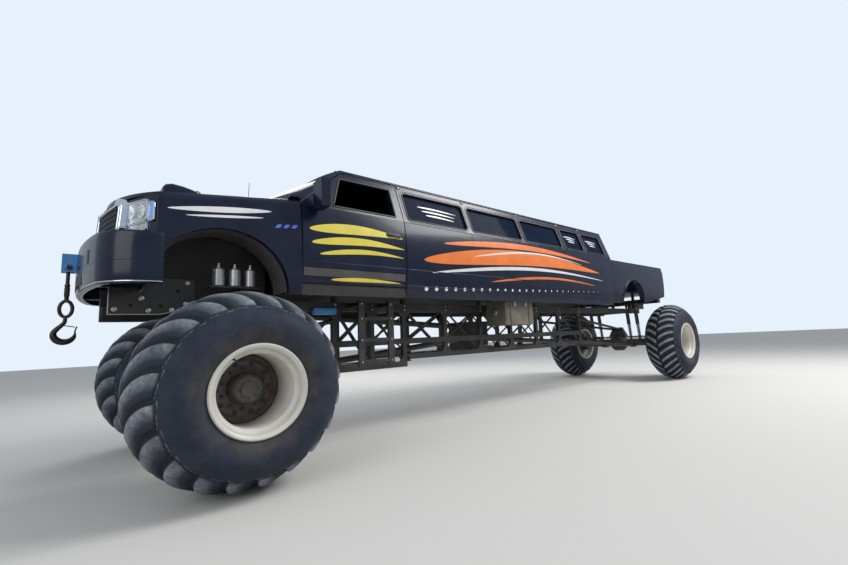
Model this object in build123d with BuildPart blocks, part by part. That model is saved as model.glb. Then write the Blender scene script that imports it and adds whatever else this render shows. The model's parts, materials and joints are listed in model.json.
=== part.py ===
from build123d import *
from collections import namedtuple
from math import hypot
import os

# Monster truck with a stretched crew cab on a tubular chassis.
# Millimetres, +Z up, the nose towards -Y, the truck's left side at +X.
# The origin is on the ground, under the middle of the whole truck.
# Stations such as door_rear are measured back from the front axle.

wheelbase = 8240
hook_reach = 1107
rear_tyre_reach = 750
front_axle_y = (hook_reach - wheelbase - rear_tyre_reach) / 2
rear_axle_y = front_axle_y + wheelbase
running_gap = 5
seat_gap = 0.3

# Wheels: one row for each axle.
Axle = namedtuple(
    "Axle", "name y wheel_x tyre_radius tyre_width rim_radius kingpin_x tie_side link_side"
)
front = Axle("front", front_axle_y, 1250, 730, 960, 300, 850, -1, 1)
rear = Axle("rear", rear_axle_y, 1173, 750, 700, 330, 905, 1, -1)
axles = (front, rear)
sides = (("left", 1), ("right", -1))

rim_wall = 14
rim_lip = 25
rim_inset = 34
dish_depth = 330
hub_radius = 120
hub_length = 190
lug_count = 10
lug_circle_radius = 165
lug_hole_radius = 22
spindle_radius = 62
spindle_gap = 0.05

# Knuckles and steering.
knuckle_radius = 70
knuckle_half_height = 105
kingpin_radius = 22
kingpin_gap = 0.5
yoke_thickness = 30
yoke_half_width = 55
arm_length = 200
arm_width = 50
arm_thickness = 25
tie_rod_radius = 18
tie_height = 118
tie_eye_radius = 28
tie_pin_radius = 13
ram_offset = 120
ram_barrel_radius = 30
ram_barrel_length = 260
ram_rod_radius = 14
ram_eye_x = -310
ram_stroke = 86

# Axle housings.
tube_radius = 75
diff_radius = 175
diff_length = 300

nose_length = 330
tower_half = 45
lug_half = 95
link_foot_x = 330
shock_places = (345, 540)
shock_offset = 105

# Chassis.
rail_x = 430
rail_height = 100
rail_width = 70
rail_z = 1425
chord_size = 70
lower_chord_size = 60
post_size = 55
brace_radius = 14
mid_chord_z = 1020
lower_chord_z = 830
front_lower_chord_z = 745
truss_front = 1150
truss_step = 2060
truss_rear = 5950
rail_front = -750
rail_rear = 8400
crossbar_radius = 28

shock_head_offset = 200
shock_head_z = 1560
link_radius = 28
link_eye = 44

# Body shell. Heights are above the ground.
half_width = 1000
rocker_z = 1490
floor_z = 1560
floor_thickness = 30
belt_z = 2350
roof_edge_z = 2830
roof_crown = 65
roof_edge_x = 790
belt_x = 968
rocker_x = 950
wall_thickness = 70
door_front = 578
door_rear = 1735
door_bottom = 1600
cab_rear = 6350
door_top = 2800
door_window_front = 900
door_swing_gap = 11
screen_base = 545
screen_base_z = 2425
screen_base_x = 869.7
screen_base_mid = 300
screen_base_mid_z = 2470
screen_top = 1060
screen_head_x = 725.4
screen_head_mid = 985
glass_inset = 25
bonnet_rear = 390
bonnet_rear_mid = 246
bonnet_front_z = 2275
bonnet_rear_z = 2385
bonnet_crown = 70
lip_x = 870
firewall_front = 530
cowl_foot_z = 2240
fender_front = -520
fender_front_x = 945
fender_thickness = 34
liner_inner_x = 600
nose_mid = -785
nose_foot_z = 1935
lamp_z = 2085
lamp_height = 240
lamp_inner_x = 480
lamp_outer_x = 850
bumper_front = -935
bumper_tail = -485
bumper_foot_z = 1530
bumper_height = 390
arch_station = -60
arch_radius = 520
arch_z = 1500
bed_rear = 8540
bed_rail_z = 2320
bed_floor_z = 1780
bed_arch_station = 7150
bed_arch_radius = 440
panel_gap = 6
tank_width = 400
tank_station = 3790
ladder_x = 700
tow_eye_thickness = 25
tow_eye_radius = 20
hook_pin_z = 1760
hook_pin_radius = 14
glass_thickness = 6

# Windows cut in the long cab side: first and last station of each.
side_windows = ((1810, 2750), (2840, 3840), (3920, 4850), (4960, 5500), (5600, 6190))
window_sill_z = 2385
window_head_z = 2735

os.makedirs("parts", exist_ok=True)


def along(station):
    """Place of a station, measured back from the front axle."""
    return front_axle_y + station


def save(part, label):
    """Name a finished piece and write it."""
    part.label = label
    export_step(part, f"parts/{label}.step")


def cross_plane(y):
    """Plane across the truck at y, its normal towards the nose."""
    return Plane.XZ.offset(-y)


# Tyres: balloon tyres with round shoulders, on rims with a deep dish.
for axle in axles:
    half = axle.tyre_width / 2
    rim_half = half - rim_inset
    bead = rim_half - rim_wall - 1
    shoulder_x = 0.8 * half
    shoulder_drop = 140
    lip_top = axle.rim_radius + rim_lip
    bulge_z = 0.55 * (lip_top + 4) + 0.45 * (axle.tyre_radius - shoulder_drop)
    for side_name, side in sides:
        centre = (side * axle.wheel_x, axle.y, axle.tyre_radius)
        wheel_plane = Plane(origin=centre, x_dir=(side, 0, 0), z_dir=(0, -1, 0))
        wheel_axis = Axis(centre, (side, 0, 0))
        disc_x = rim_half - dish_depth

        with BuildPart() as tyre:
            with BuildSketch(wheel_plane):
                with BuildLine():
                    ThreePointArc(
                        (-shoulder_x, axle.tyre_radius - shoulder_drop),
                        (0, axle.tyre_radius),
                        (shoulder_x, axle.tyre_radius - shoulder_drop),
                    )
                    ThreePointArc(
                        (shoulder_x, axle.tyre_radius - shoulder_drop),
                        (half, bulge_z),
                        (bead, lip_top + 4),
                    )
                    Polyline(
                        (bead, lip_top + 4),
                        (bead, axle.rim_radius),
                        (-bead, axle.rim_radius),
                        (-bead, lip_top + 4),
                    )
                    ThreePointArc(
                        (-bead, lip_top + 4),
                        (-half, bulge_z),
                        (-shoulder_x, axle.tyre_radius - shoulder_drop),
                    )
                make_face()
            revolve(axis=wheel_axis)
        save(tyre.part, f"{axle.name}_{side_name}_tyre")

        with BuildPart() as rim:
            with BuildSketch(wheel_plane):
                with BuildLine():
                    Polyline(
                        (-rim_half, axle.rim_radius - rim_wall),
                        (rim_half, axle.rim_radius - rim_wall),
                        (rim_half, lip_top),
                        (rim_half - rim_wall, lip_top),
                        (rim_half - rim_wall, axle.rim_radius),
                        (-rim_half + rim_wall, axle.rim_radius),
                        (-rim_half + rim_wall, lip_top),
                        (-rim_half, lip_top),
                        close=True,
                    )
                make_face()
            revolve(axis=wheel_axis)
            with BuildSketch(wheel_plane):
                with BuildLine():
                    Polyline(
                        (disc_x, axle.rim_radius - rim_wall),
                        (disc_x + 18, axle.rim_radius - rim_wall),
                        (disc_x + 18, hub_radius),
                        (disc_x + 60, hub_radius - 12),
                        (disc_x + 75, 0),
                        (disc_x + 55, 0),
                        (disc_x + 40, spindle_radius + spindle_gap),
                        (disc_x + 40 - hub_length, spindle_radius + spindle_gap),
                        (disc_x + 40 - hub_length, hub_radius),
                        (disc_x, hub_radius),
                        close=True,
                    )
                make_face()
            revolve(axis=wheel_axis)
            disc_plane = Plane(
                origin=(centre[0] + side * disc_x, centre[1], centre[2]),
                x_dir=(0, 1, 0),
                z_dir=(side, 0, 0),
            )
            with BuildSketch(disc_plane):
                with PolarLocations(lug_circle_radius, lug_count):
                    Circle(lug_hole_radius)
            extrude(amount=18, mode=Mode.SUBTRACT)
        save(rim.part, f"{axle.name}_{side_name}_rim")

        # Knuckle: a core between the yoke's arms, its kingpins, spindle and steering arm.
        pivot = Vector(side * axle.kingpin_x, axle.y, axle.tyre_radius)
        spindle_end = axle.wheel_x + disc_x + 40
        with BuildPart() as knuckle:
            with BuildSketch(Plane(origin=pivot - Vector(0, 0, knuckle_half_height))):
                Circle(knuckle_radius)
            extrude(amount=2 * knuckle_half_height)
            pin_half = knuckle_half_height + running_gap + yoke_thickness
            with BuildSketch(Plane(origin=pivot - Vector(0, 0, pin_half))):
                Circle(kingpin_radius)
            extrude(amount=2 * pin_half)
            with BuildSketch(Plane(origin=pivot, x_dir=(0, 1, 0), z_dir=(side, 0, 0))):
                Circle(spindle_radius)
            extrude(amount=spindle_end - axle.kingpin_x)
            arm_z = axle.tyre_radius + tie_height - tie_rod_radius - arm_thickness - 1
            arm_end = axle.y + axle.tie_side * arm_length
            with BuildSketch(Plane(origin=(pivot.X, (axle.y + arm_end) / 2, arm_z))):
                SlotCenterToCenter(arm_length, arm_width, rotation=90)
            extrude(amount=arm_thickness)
            with BuildSketch(Plane(origin=(pivot.X, arm_end, arm_z))):
                Circle(tie_pin_radius)
            extrude(amount=arm_thickness + 2 * tie_rod_radius + 6)
        save(knuckle.part, f"{axle.name}_{side_name}_knuckle")

# Axle housings: tubes, centre case with its nose, yokes, link lugs and the ram's barrel.
for axle in axles:
    z = axle.tyre_radius
    tie_y = axle.y + axle.tie_side * arm_length
    ram_y = axle.y + axle.tie_side * ram_offset
    ram_z = z + tie_height
    barrel_outer = ram_eye_x - ram_stroke - 44
    with BuildPart() as housing:
        tube_half = axle.kingpin_x - 110
        with BuildSketch(Plane(origin=(-tube_half, axle.y, z), x_dir=(0, 1, 0), z_dir=(1, 0, 0))):
            Circle(tube_radius)
        extrude(amount=2 * tube_half)
        with BuildSketch(Plane(origin=(0, axle.y, z), x_dir=(1, 0, 0), z_dir=(0, -1, 0))):
            with BuildLine():
                Polyline((-tube_radius - 130, 0), (-tube_radius - 130, tube_radius), (-90, diff_radius))
                Line((-90, diff_radius), (90, diff_radius))
                Polyline((90, diff_radius), (tube_radius + 130, tube_radius), (tube_radius + 130, 0))
                Line((tube_radius + 130, 0), (-tube_radius - 130, 0))
            make_face()
        revolve(axis=Axis((0, axle.y, z), (1, 0, 0)))
        # Nose of the centre case, towards the middle of the truck.
        with BuildSketch(Plane(origin=(0, axle.y, z), x_dir=(1, 0, 0), z_dir=(0, axle.link_side, 0))):
            Circle(115)
        with BuildSketch(
            Plane(origin=(0, axle.y + axle.link_side * nose_length, z), x_dir=(1, 0, 0), z_dir=(0, axle.link_side, 0))
        ):
            Circle(60)
        loft()
        # Top tower that carries the upper links, and lugs under the tubes.
        with BuildSketch(cross_plane(axle.y + tower_half)):
            with Locations((0, z + 240)):
                Trapezoid(420, 200, 60)
        extrude(amount=2 * tower_half)
        for side_name, side in sides:
            with Locations((side * link_foot_x, axle.y, z - 40)):
                Box(60, 2 * lug_half, 120)
            for shock_x in shock_places:
                with Locations((side * shock_x, axle.y + axle.link_side * 65, z + 50)):
                    Box(70, 150, 24)
        # Yokes that hold the kingpins.
        for side_name, side in sides:
            yoke_half = knuckle_half_height + running_gap + yoke_thickness
            with Locations((side * (axle.kingpin_x - 98), axle.y, z)):
                Box(36, 2 * yoke_half_width, 2 * yoke_half)
            for level in (1, -1):
                arm_mid = z + level * (knuckle_half_height + running_gap + yoke_thickness / 2)
                with Locations((side * (axle.kingpin_x - 33), axle.y, arm_mid)):
                    Box(166, 2 * yoke_half_width, yoke_thickness)
            with Locations((side * axle.kingpin_x, axle.y, z)):
                Cylinder(kingpin_radius + kingpin_gap, 2 * yoke_half + 2, mode=Mode.SUBTRACT)
                Cylinder(knuckle_radius + running_gap, 2 * knuckle_half_height + 10, mode=Mode.SUBTRACT)
        # Barrel of the steering ram and its two clamps.
        with BuildSketch(
            Plane(origin=(barrel_outer - ram_barrel_length, ram_y, ram_z), x_dir=(0, 1, 0), z_dir=(1, 0, 0))
        ):
            Circle(ram_barrel_radius)
        extrude(amount=ram_barrel_length)
        for place in (0.15, 0.85):
            with BuildSketch(
                Plane(
                    origin=(barrel_outer - place * ram_barrel_length, axle.y, z),
                    x_dir=(0, axle.tie_side, 0),
                    z_dir=(axle.tie_side, 0, 0),
                )
            ):
                with BuildLine():
                    Polyline(
                        (0, 0),
                        (ram_offset + ram_barrel_radius, tie_height),
                        (ram_offset, tie_height + ram_barrel_radius + 6),
                        (0, tube_radius + 20),
                        close=True,
                    )
                make_face()
            extrude(amount=12, both=True)
        with BuildSketch(
            Plane(origin=(barrel_outer - ram_barrel_length + 20, ram_y, ram_z), x_dir=(0, 1, 0), z_dir=(1, 0, 0))
        ):
            Circle(ram_rod_radius + 0.05)
        extrude(amount=ram_barrel_length, mode=Mode.SUBTRACT)
    save(housing.part, f"{axle.name}_axle")

    # Tie rod, with an eye on each arm's pin and a clevis for the ram.
    with BuildPart() as tie_rod:
        tie_half = axle.kingpin_x
        with BuildSketch(Plane(origin=(-tie_half, tie_y, ram_z), x_dir=(0, 1, 0), z_dir=(1, 0, 0))):
            Circle(tie_rod_radius)
        extrude(amount=2 * tie_half)
        for side_name, side in sides:
            with Locations((side * tie_half, tie_y, ram_z)):
                Cylinder(tie_eye_radius, 2 * tie_rod_radius)
        for level in (1, -1):
            with Locations((ram_eye_x, (tie_y + ram_y) / 2 - axle.tie_side * 5, ram_z + level * 19)):
                Box(90, abs(tie_y - ram_y) + 50, 6)
        for side_name, side in sides:
            with Locations((side * tie_half, tie_y, ram_z)):
                Cylinder(tie_pin_radius + 0.3, 60, mode=Mode.SUBTRACT)
    save(tie_rod.part, f"{axle.name}_tie_rod")

    # Rod of the steering ram, with its eye between the clevis plates.
    with BuildPart() as ram_rod:
        rod_start = barrel_outer - ram_barrel_length + 30 + ram_stroke
        with BuildSketch(Plane(origin=(rod_start, ram_y, ram_z), x_dir=(0, 1, 0), z_dir=(1, 0, 0))):
            Circle(ram_rod_radius)
        extrude(amount=ram_eye_x - rod_start)
        with Locations((ram_eye_x, ram_y, ram_z)):
            Cylinder(24, 30)
    save(ram_rod.part, f"{axle.name}_ram_rod")

# Trusses: three chords, posts and crossed braces on each side of the chassis.
posts = (1150, 1610, 2060, 2720, 3380, 4040, 4680, 5310, 5950)
post_half = post_size / 2
for side_name, side in sides:
    x = side * rail_x
    with BuildPart() as truss:
        chords = (
            (rail_front, rail_rear, rail_z, rail_width, rail_height),
            (truss_front - post_half, truss_rear + post_half, mid_chord_z, chord_size, chord_size),
            (truss_step, truss_rear + post_half, lower_chord_z, lower_chord_size, lower_chord_size),
            (truss_front - post_half, truss_step + post_half, front_lower_chord_z, lower_chord_size, lower_chord_size),
        )
        for first, last, level, width, height in chords:
            with BuildSketch(cross_plane(along(last))):
                with Locations((x, level)):
                    Rectangle(width, height)
            extrude(amount=last - first)
        for post in posts:
            foot = front_lower_chord_z if post <= truss_step else lower_chord_z
            with BuildSketch(Plane.XY.offset(foot)):
                with Locations((x, along(post))):
                    Rectangle(post_size, post_size)
            extrude(amount=rail_z - foot)
        for first, last in zip(posts[:-1], posts[1:]):
            foot = front_lower_chord_z if last <= truss_step else lower_chord_z
            for start, end in (
                ((x, along(first), rail_z), (x, along(last), foot)),
                ((x, along(first), mid_chord_z), (x, along(last), rail_z)),
            ):
                run = Vector(*end) - Vector(*start)
                with BuildSketch(Plane(origin=start, z_dir=run)):
                    Circle(brace_radius)
                extrude(amount=run.length)
    save(truss.part, f"truss_{side_name}")

# Members across the chassis: bars, shock mounts above the axles and the front horn plates.
cross_bars = (
    (rail_front + 60, rail_z),
    (1150, rail_z),
    (1150, mid_chord_z),
    (1610, front_lower_chord_z),
    (2060, rail_z),
    (2060, front_lower_chord_z),
    (2720, lower_chord_z),
    (3380, rail_z),
    (4040, lower_chord_z),
    (4680, rail_z),
    (4680, lower_chord_z),
    (5950, rail_z),
    (5950, mid_chord_z),
    (6700, rail_z),
    (7450, rail_z),
    (rail_rear - 60, rail_z),
)
with BuildPart() as cross_members:
    for station, level in cross_bars:
        bar_half = rail_x - rail_width / 2
        if level == lower_chord_z or level == front_lower_chord_z:
            bar_half = rail_x - lower_chord_size / 2
        with BuildSketch(Plane(origin=(-bar_half, along(station), level), x_dir=(0, 1, 0), z_dir=(1, 0, 0))):
            Circle(crossbar_radius)
        extrude(amount=2 * bar_half)
    for side_name, side in sides:
        for axle in axles:
            mount_y = axle.y + axle.link_side * shock_head_offset
            with Locations((side * (shock_places[0] + shock_places[1]) / 2, mount_y, shock_head_z + 15)):
                Box(shock_places[1] - shock_places[0] + 100, 110, 30)
            with Locations((side * rail_x, mount_y, (rail_z + rail_height / 2 + shock_head_z) / 2)):
                Box(60, 90, shock_head_z - rail_z - rail_height / 2)
        with BuildSketch(Plane.YZ.offset(side * (rail_x + rail_width / 2 + 12))):
            with BuildLine():
                Polyline(
                    (along(-760), 1640),
                    (along(-760), 1340),
                    (along(-420), 1340),
                    (along(-180), 1400),
                    (along(-180), 1640),
                    close=True,
                )
            make_face()
            with Locations((along(-300), 1540), (along(-620), 1410), (along(-420), 1410)):
                Circle(16, mode=Mode.SUBTRACT)
        extrude(amount=12, both=True)
save(cross_members.part, "cross_members")

# Link bars: two lower and two upper bars from each axle to the truss's end.
with BuildPart() as links:
    for axle, post_face in ((front, along(truss_front - post_half)), (rear, along(truss_rear + post_half))):
        toward = axle.link_side
        lower_end = front_lower_chord_z if axle is front else lower_chord_z
        for side_name, side in sides:
            for foot, head in (
                (
                    (side * link_foot_x, axle.y + toward * (lug_half + seat_gap), axle.tyre_radius - 60),
                    (side * rail_x, post_face - toward * seat_gap, lower_end),
                ),
                (
                    (side * 70, axle.y + toward * (tower_half + seat_gap), axle.tyre_radius + 300),
                    (side * rail_x, post_face - toward * seat_gap, rail_z - 160),
                ),
            ):
                ends = []
                for (px, py, pz), way in ((foot, toward), (head, -toward)):
                    with BuildSketch(Plane(origin=(px, py, pz), x_dir=(1, 0, 0), z_dir=(0, way, 0))):
                        Circle(link_radius)
                    extrude(amount=link_eye)
                    ends.append(Vector(px, py + way * link_eye / 2, pz))
                run = ends[1] - ends[0]
                with BuildSketch(Plane(origin=ends[0], z_dir=run)):
                    Circle(link_radius - 4)
                extrude(amount=run.length)
save(links.part, "link_bars")

# Shock absorbers: two each side of each axle, from the axle's shelves to the mounts.
with BuildPart() as shocks:
    for axle in axles:
        for side_name, side in sides:
            for shock_x in shock_places:
                foot = Vector(side * shock_x, axle.y + axle.link_side * shock_offset, axle.tyre_radius + 62)
                head = Vector(side * shock_x, axle.y + axle.link_side * shock_head_offset, shock_head_z)
                with BuildSketch(Plane(origin=foot)):
                    Circle(26)
                extrude(amount=50)
                with BuildSketch(Plane(origin=head)):
                    Circle(26)
                extrude(amount=-50)
                run = head - foot - Vector(0, 0, 60)
                with BuildSketch(Plane(origin=foot + Vector(0, 0, 30), z_dir=run)):
                    Circle(20)
                extrude(amount=run.length)
                with BuildSketch(Plane(origin=foot + Vector(0, 0, 30) + run * 0.42, z_dir=run)):
                    Circle(38)
                extrude(amount=run.length * 0.5)
save(shocks.part, "shock_absorbers")

# Engine and gearbox as plain masses, with the transfer case and the propeller shafts.
with BuildPart() as driveline:
    with Locations((0, along(50), 1780)):
        Box(560, 860, 600)
    for station in (-200, 350):
        with Locations((0, along(station), rail_z + rail_height / 2 + 20)):
            Box(2 * rail_x + 60, 80, 40)
    for station, radius, length in ((530, 160, 200), (850, 120, 480)):
        with Locations((0, along(station), 1350)):
            Cylinder(radius, length, rotation=(90, 0, 0))
    with Locations((0, along(3560), 1080)):
        Box(420, 420, 360)
    with Locations((0, along(3560), lower_chord_z + lower_chord_size / 2 + 20)):
        Box(2 * rail_x, 120, 40)
    for start, end in (
        ((0, along(1080), 1350), (0, along(3400), 1190)),
        ((0, front.y + nose_length + 30, front.tyre_radius), (0, along(3400), 1010)),
        ((0, along(3720), 1010), (0, rear.y - nose_length - 30, rear.tyre_radius)),
    ):
        run = Vector(*end) - Vector(*start)
        with BuildSketch(Plane(origin=start, z_dir=run)):
            Circle(38)
        extrude(amount=run.length)
    for axle in axles:
        with Locations((0, axle.y + axle.link_side * (nose_length + seat_gap + 30), axle.tyre_radius)):
            Cylinder(48, 60, rotation=(90, 0, 0))
save(driveline.part, "driveline")

# Tank box on the left rail, with its lid.
with BuildPart() as tank:
    tank_x = rail_x + rail_width / 2 + seat_gap + tank_width / 2
    with Locations((tank_x, along(tank_station), 1340)):
        Box(tank_width, 620, 330)
    fillet(tank.edges().filter_by(Axis.Z), radius=30)
    with Locations((tank_x, along(tank_station), 1510)):
        Box(tank_width, 640, 16)
save(tank.part, "tank_box")

# Boarding ladder under the left door.
with BuildPart() as ladder:
    for station in (1330, 1700):
        with Locations((ladder_x, along(station), 1125)):
            Box(30, 70, 710)
        with Locations(((rail_x + rail_width / 2 + ladder_x) / 2, along(station), 1440)):
            Box(ladder_x - rail_x - rail_width / 2, 40, 40)
    for level in (820, 1050, 1280):
        with Locations((ladder_x, along(1515), level)):
            Box(26, 370, 40)
save(ladder.part, "boarding_ladder")

# Section of the cab wall: rocker, bulging door skin, glass line leaning in.
wall_points = {
    "rocker": (rocker_x, rocker_z),
    "waist": (half_width, (rocker_z + belt_z) / 2 + 60),
    "belt": (belt_x, belt_z),
    "eave": (roof_edge_x, roof_edge_z),
}
walls = {}
for side_name, side in sides:
    with BuildSketch() as wall_section:
        with BuildLine():
            outer = {key: (side * px, pz) for key, (px, pz) in wall_points.items()}
            inner = {key: (side * (px - wall_thickness), pz) for key, (px, pz) in wall_points.items()}
            sill = (side * (rocker_x - wall_thickness), door_bottom)
            ThreePointArc(outer["rocker"], outer["waist"], outer["belt"])
            Line(outer["belt"], outer["eave"])
            Line(outer["eave"], inner["eave"])
            Line(inner["eave"], inner["belt"])
            ThreePointArc(inner["belt"], inner["waist"], sill)
            Line(sill, inner["rocker"])
            Line(inner["rocker"], outer["rocker"])
        make_face()
    walls[side] = wall_section.sketch

# Long cab sides: a strip over the front door, then the wall with its windows cut through.
for side_name, side in sides:
    with BuildPart() as cab_side:
        with BuildSketch(cross_plane(along(cab_rear - wall_thickness))):
            add(walls[side])
        extrude(amount=cab_rear - wall_thickness - screen_top)
        with BuildSketch(Plane.YZ.offset(side * half_width * 1.1)):
            with BuildLine():
                Polyline(
                    (along(screen_top) - 1, door_top + panel_gap),
                    (along(door_rear + door_swing_gap), door_top + panel_gap),
                    (along(door_rear + door_swing_gap), rocker_z - 1),
                    (along(screen_top) - 1, rocker_z - 1),
                    close=True,
                )
            make_face()
            for first, last in side_windows:
                with Locations((along((first + last) / 2), (window_sill_z + window_head_z) / 2)):
                    RectangleRounded(last - first, window_head_z - window_sill_z, 50)
        extrude(amount=-side * 500, mode=Mode.SUBTRACT)
    save(cab_side.part, f"cab_side_{side_name}")

# Front doors: the same wall section inside the door's outline, with the window cut.
for side_name, side in sides:
    with BuildPart() as door:
        with BuildSketch(cross_plane(along(door_rear))):
            add(walls[side])
        extrude(amount=door_rear - door_front)
        with BuildSketch(Plane.YZ.offset(side * half_width * 1.1)):
            with BuildLine():
                Polyline(
                    (along(door_front), door_bottom),
                    (along(door_front), belt_z + 20),
                    (along(screen_top - 10), door_top),
                    (along(door_rear), door_top),
                    (along(door_rear), door_bottom),
                    close=True,
                )
            make_face()
        extrude(amount=-side * 700, mode=Mode.INTERSECT)
        with BuildSketch(Plane.YZ.offset(side * half_width * 1.1)):
            with BuildLine():
                Polyline(
                    (along(door_window_front), window_sill_z),
                    (along(door_window_front + 130), window_head_z),
                    (along(door_rear - 95), window_head_z),
                    (along(door_rear - 95), window_sill_z),
                    close=True,
                )
            make_face()
        extrude(amount=-side * 700, mode=Mode.SUBTRACT)
        # Mirror on the door's front corner.
        with Locations((side * (belt_x + 45), along(door_front + 130), belt_z - 30)):
            Box(150, 60, 40)
        with Locations((side * (belt_x + 150), along(door_front + 130), belt_z + 70)):
            Box(180, 90, 260)
    save(door.part, f"front_door_{side_name}")

# Floor, rockers, firewall and body mounts.
rail_top = rail_z + rail_height / 2
floor_foot = floor_z - floor_thickness
with BuildPart() as floor:
    with Locations((0, along((firewall_front + cab_rear - wall_thickness) / 2), floor_z - floor_thickness / 2)):
        Box(2 * (rocker_x - wall_thickness), cab_rear - wall_thickness - firewall_front, floor_thickness)
    rocker_height = door_bottom - panel_gap - rocker_z
    for side_name, side in sides:
        with Locations((side * (rocker_x - 30), along((door_front + door_rear) / 2), rocker_z + rocker_height / 2)):
            Box(80, door_rear - door_front, rocker_height)
    with Locations((0, along(firewall_front + 15), (floor_foot + cowl_foot_z) / 2)):
        Box(2 * lip_x, 30, cowl_foot_z - floor_foot)
    for station in (*posts[::2], 6200):
        for side_name, side in sides:
            with Locations((side * rail_x, along(station), (rail_top + floor_foot) / 2)):
                Cylinder(32, floor_foot - rail_top)
save(floor.part, "floor")

# The panels round the engine follow one plane that rises to the windscreen.
bonnet_slope = (bonnet_rear_z - bonnet_front_z) / (bonnet_rear - fender_front)
bonnet_plane = Plane(
    origin=(0, along(bonnet_rear + 300), bonnet_rear_z + bonnet_slope * 300),
    x_dir=(1, 0, 0),
    z_dir=(0, -1, -bonnet_slope),
)

# Windscreen posts, one on each side of the glass.
post_foot_z = bonnet_rear_z + 26
with BuildPart() as screen_posts:
    for side_name, side in sides:
        with BuildSketch(cross_plane(along(screen_top + 10))):
            add(walls[side])
        extrude(amount=screen_top + 10 - 440)
    with BuildSketch(Plane.YZ.offset(-half_width * 1.1)):
        with BuildLine():
            Polyline(
                (along(door_front - panel_gap), post_foot_z),
                (along(door_front - panel_gap), belt_z + 24),
                (along(screen_top - 17), door_top + panel_gap),
                (along(screen_top - 1), door_top + panel_gap),
                (along(screen_top - 1), roof_edge_z - seat_gap),
                (along(screen_top - 50), roof_edge_z - seat_gap),
                (along(door_front - 50), belt_z + 70),
                (along(door_front - 90), post_foot_z),
                close=True,
            )
        make_face()
    extrude(amount=half_width * 2.2, mode=Mode.INTERSECT)

# Windscreen frame: cowl and posts.
with BuildPart() as screen_frame:
    with BuildSketch(bonnet_plane):
        with BuildLine():
            ThreePointArc((-lip_x, 0), (0, bonnet_crown), (lip_x, 0))
            Line((lip_x, 0), (lip_x, -60))
            ThreePointArc((lip_x, -60), (0, bonnet_crown - 70), (-lip_x, -60))
            Line((-lip_x, -60), (-lip_x, 0))
        make_face()
    extrude(amount=620)
    with BuildSketch(Plane.XY.offset(2000)):
        with BuildLine():
            ThreePointArc(
                (-lip_x - 1, along(bonnet_rear + 12)),
                (0, along(bonnet_rear_mid + 12)),
                (lip_x + 1, along(bonnet_rear + 12)),
            )
            Polyline(
                (lip_x + 1, along(bonnet_rear + 12)),
                (lip_x + 1, along(firewall_front + 30)),
                (-lip_x - 1, along(firewall_front + 30)),
                (-lip_x - 1, along(bonnet_rear + 12)),
            )
        make_face()
    extrude(amount=1000, mode=Mode.INTERSECT)
    with Locations((0, along(firewall_front + 15), (cowl_foot_z + bonnet_rear_z - 20) / 2)):
        Box(2 * lip_x, 30, bonnet_rear_z - 20 - cowl_foot_z)
    for side_name, side in sides:
        with Locations((side * (lip_x - 25), along(door_front - 50), post_foot_z - 20)):
            Box(48, 86, 64)
        with Locations((side * (lip_x + 34), along(door_front - 50), post_foot_z + 6)):
            Box(70, 86, 12)
    add(screen_posts.part)
save(screen_frame.part, "screen_frame")

# Glass: the bowed windscreen and one pane for each side window.
with BuildPart() as glazing:
    screen_levels = (
        (screen_base, screen_base_z, screen_base_x, screen_base_mid, screen_base_mid_z, 10),
        (screen_top - 20, roof_edge_z - 16, screen_head_x, screen_head_mid, roof_edge_z + 42, 10),
    )
    for station, level, half, mid, mid_z, thick in screen_levels:
        bow = hypot(mid - station, mid_z - level)
        with BuildSketch(
            Plane(
                origin=(0, along(station), level),
                x_dir=(1, 0, 0),
                z_dir=Vector(1, 0, 0).cross(Vector(0, mid - station, mid_z - level)),
            )
        ):
            with BuildLine():
                ThreePointArc((-half, 0), (0, bow), (half, 0))
                Line((half, 0), (half - thick, 0))
                ThreePointArc((half - thick, 0), (0, bow - thick), (-half + thick, 0))
                Line((-half + thick, 0), (-half, 0))
            make_face()
    loft()
    for side_name, side in sides:
        for first, last in side_windows:
            rows = []
            for level in (window_sill_z, window_head_z):
                skin = belt_x - (level - belt_z) * (belt_x - roof_edge_x) / (roof_edge_z - belt_z)
                rows.append((skin - glass_inset, level))
            (low_x, low_z), (high_x, high_z) = rows
            with BuildSketch(cross_plane(along(last - seat_gap))):
                with BuildLine():
                    Polyline(
                        (side * low_x, low_z + seat_gap),
                        (side * high_x, high_z - seat_gap),
                        (side * (high_x - glass_thickness), high_z - seat_gap),
                        (side * (low_x - glass_thickness), low_z + seat_gap),
                        close=True,
                    )
                make_face()
            extrude(amount=last - first - 2 * seat_gap)
        with BuildSketch(Plane.YZ.offset(side * half_width * 1.1)):
            for first, last in side_windows:
                with Locations((along((first + last) / 2), (window_sill_z + window_head_z) / 2)):
                    Rectangle(last - first, window_head_z - window_sill_z)
                    RectangleRounded(
                        last - first - 2 * seat_gap,
                        window_head_z - window_sill_z - 2 * seat_gap,
                        50 - seat_gap,
                        mode=Mode.SUBTRACT,
                    )
        extrude(amount=-side * 500, mode=Mode.SUBTRACT)
save(glazing.part, "glazing")

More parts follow.
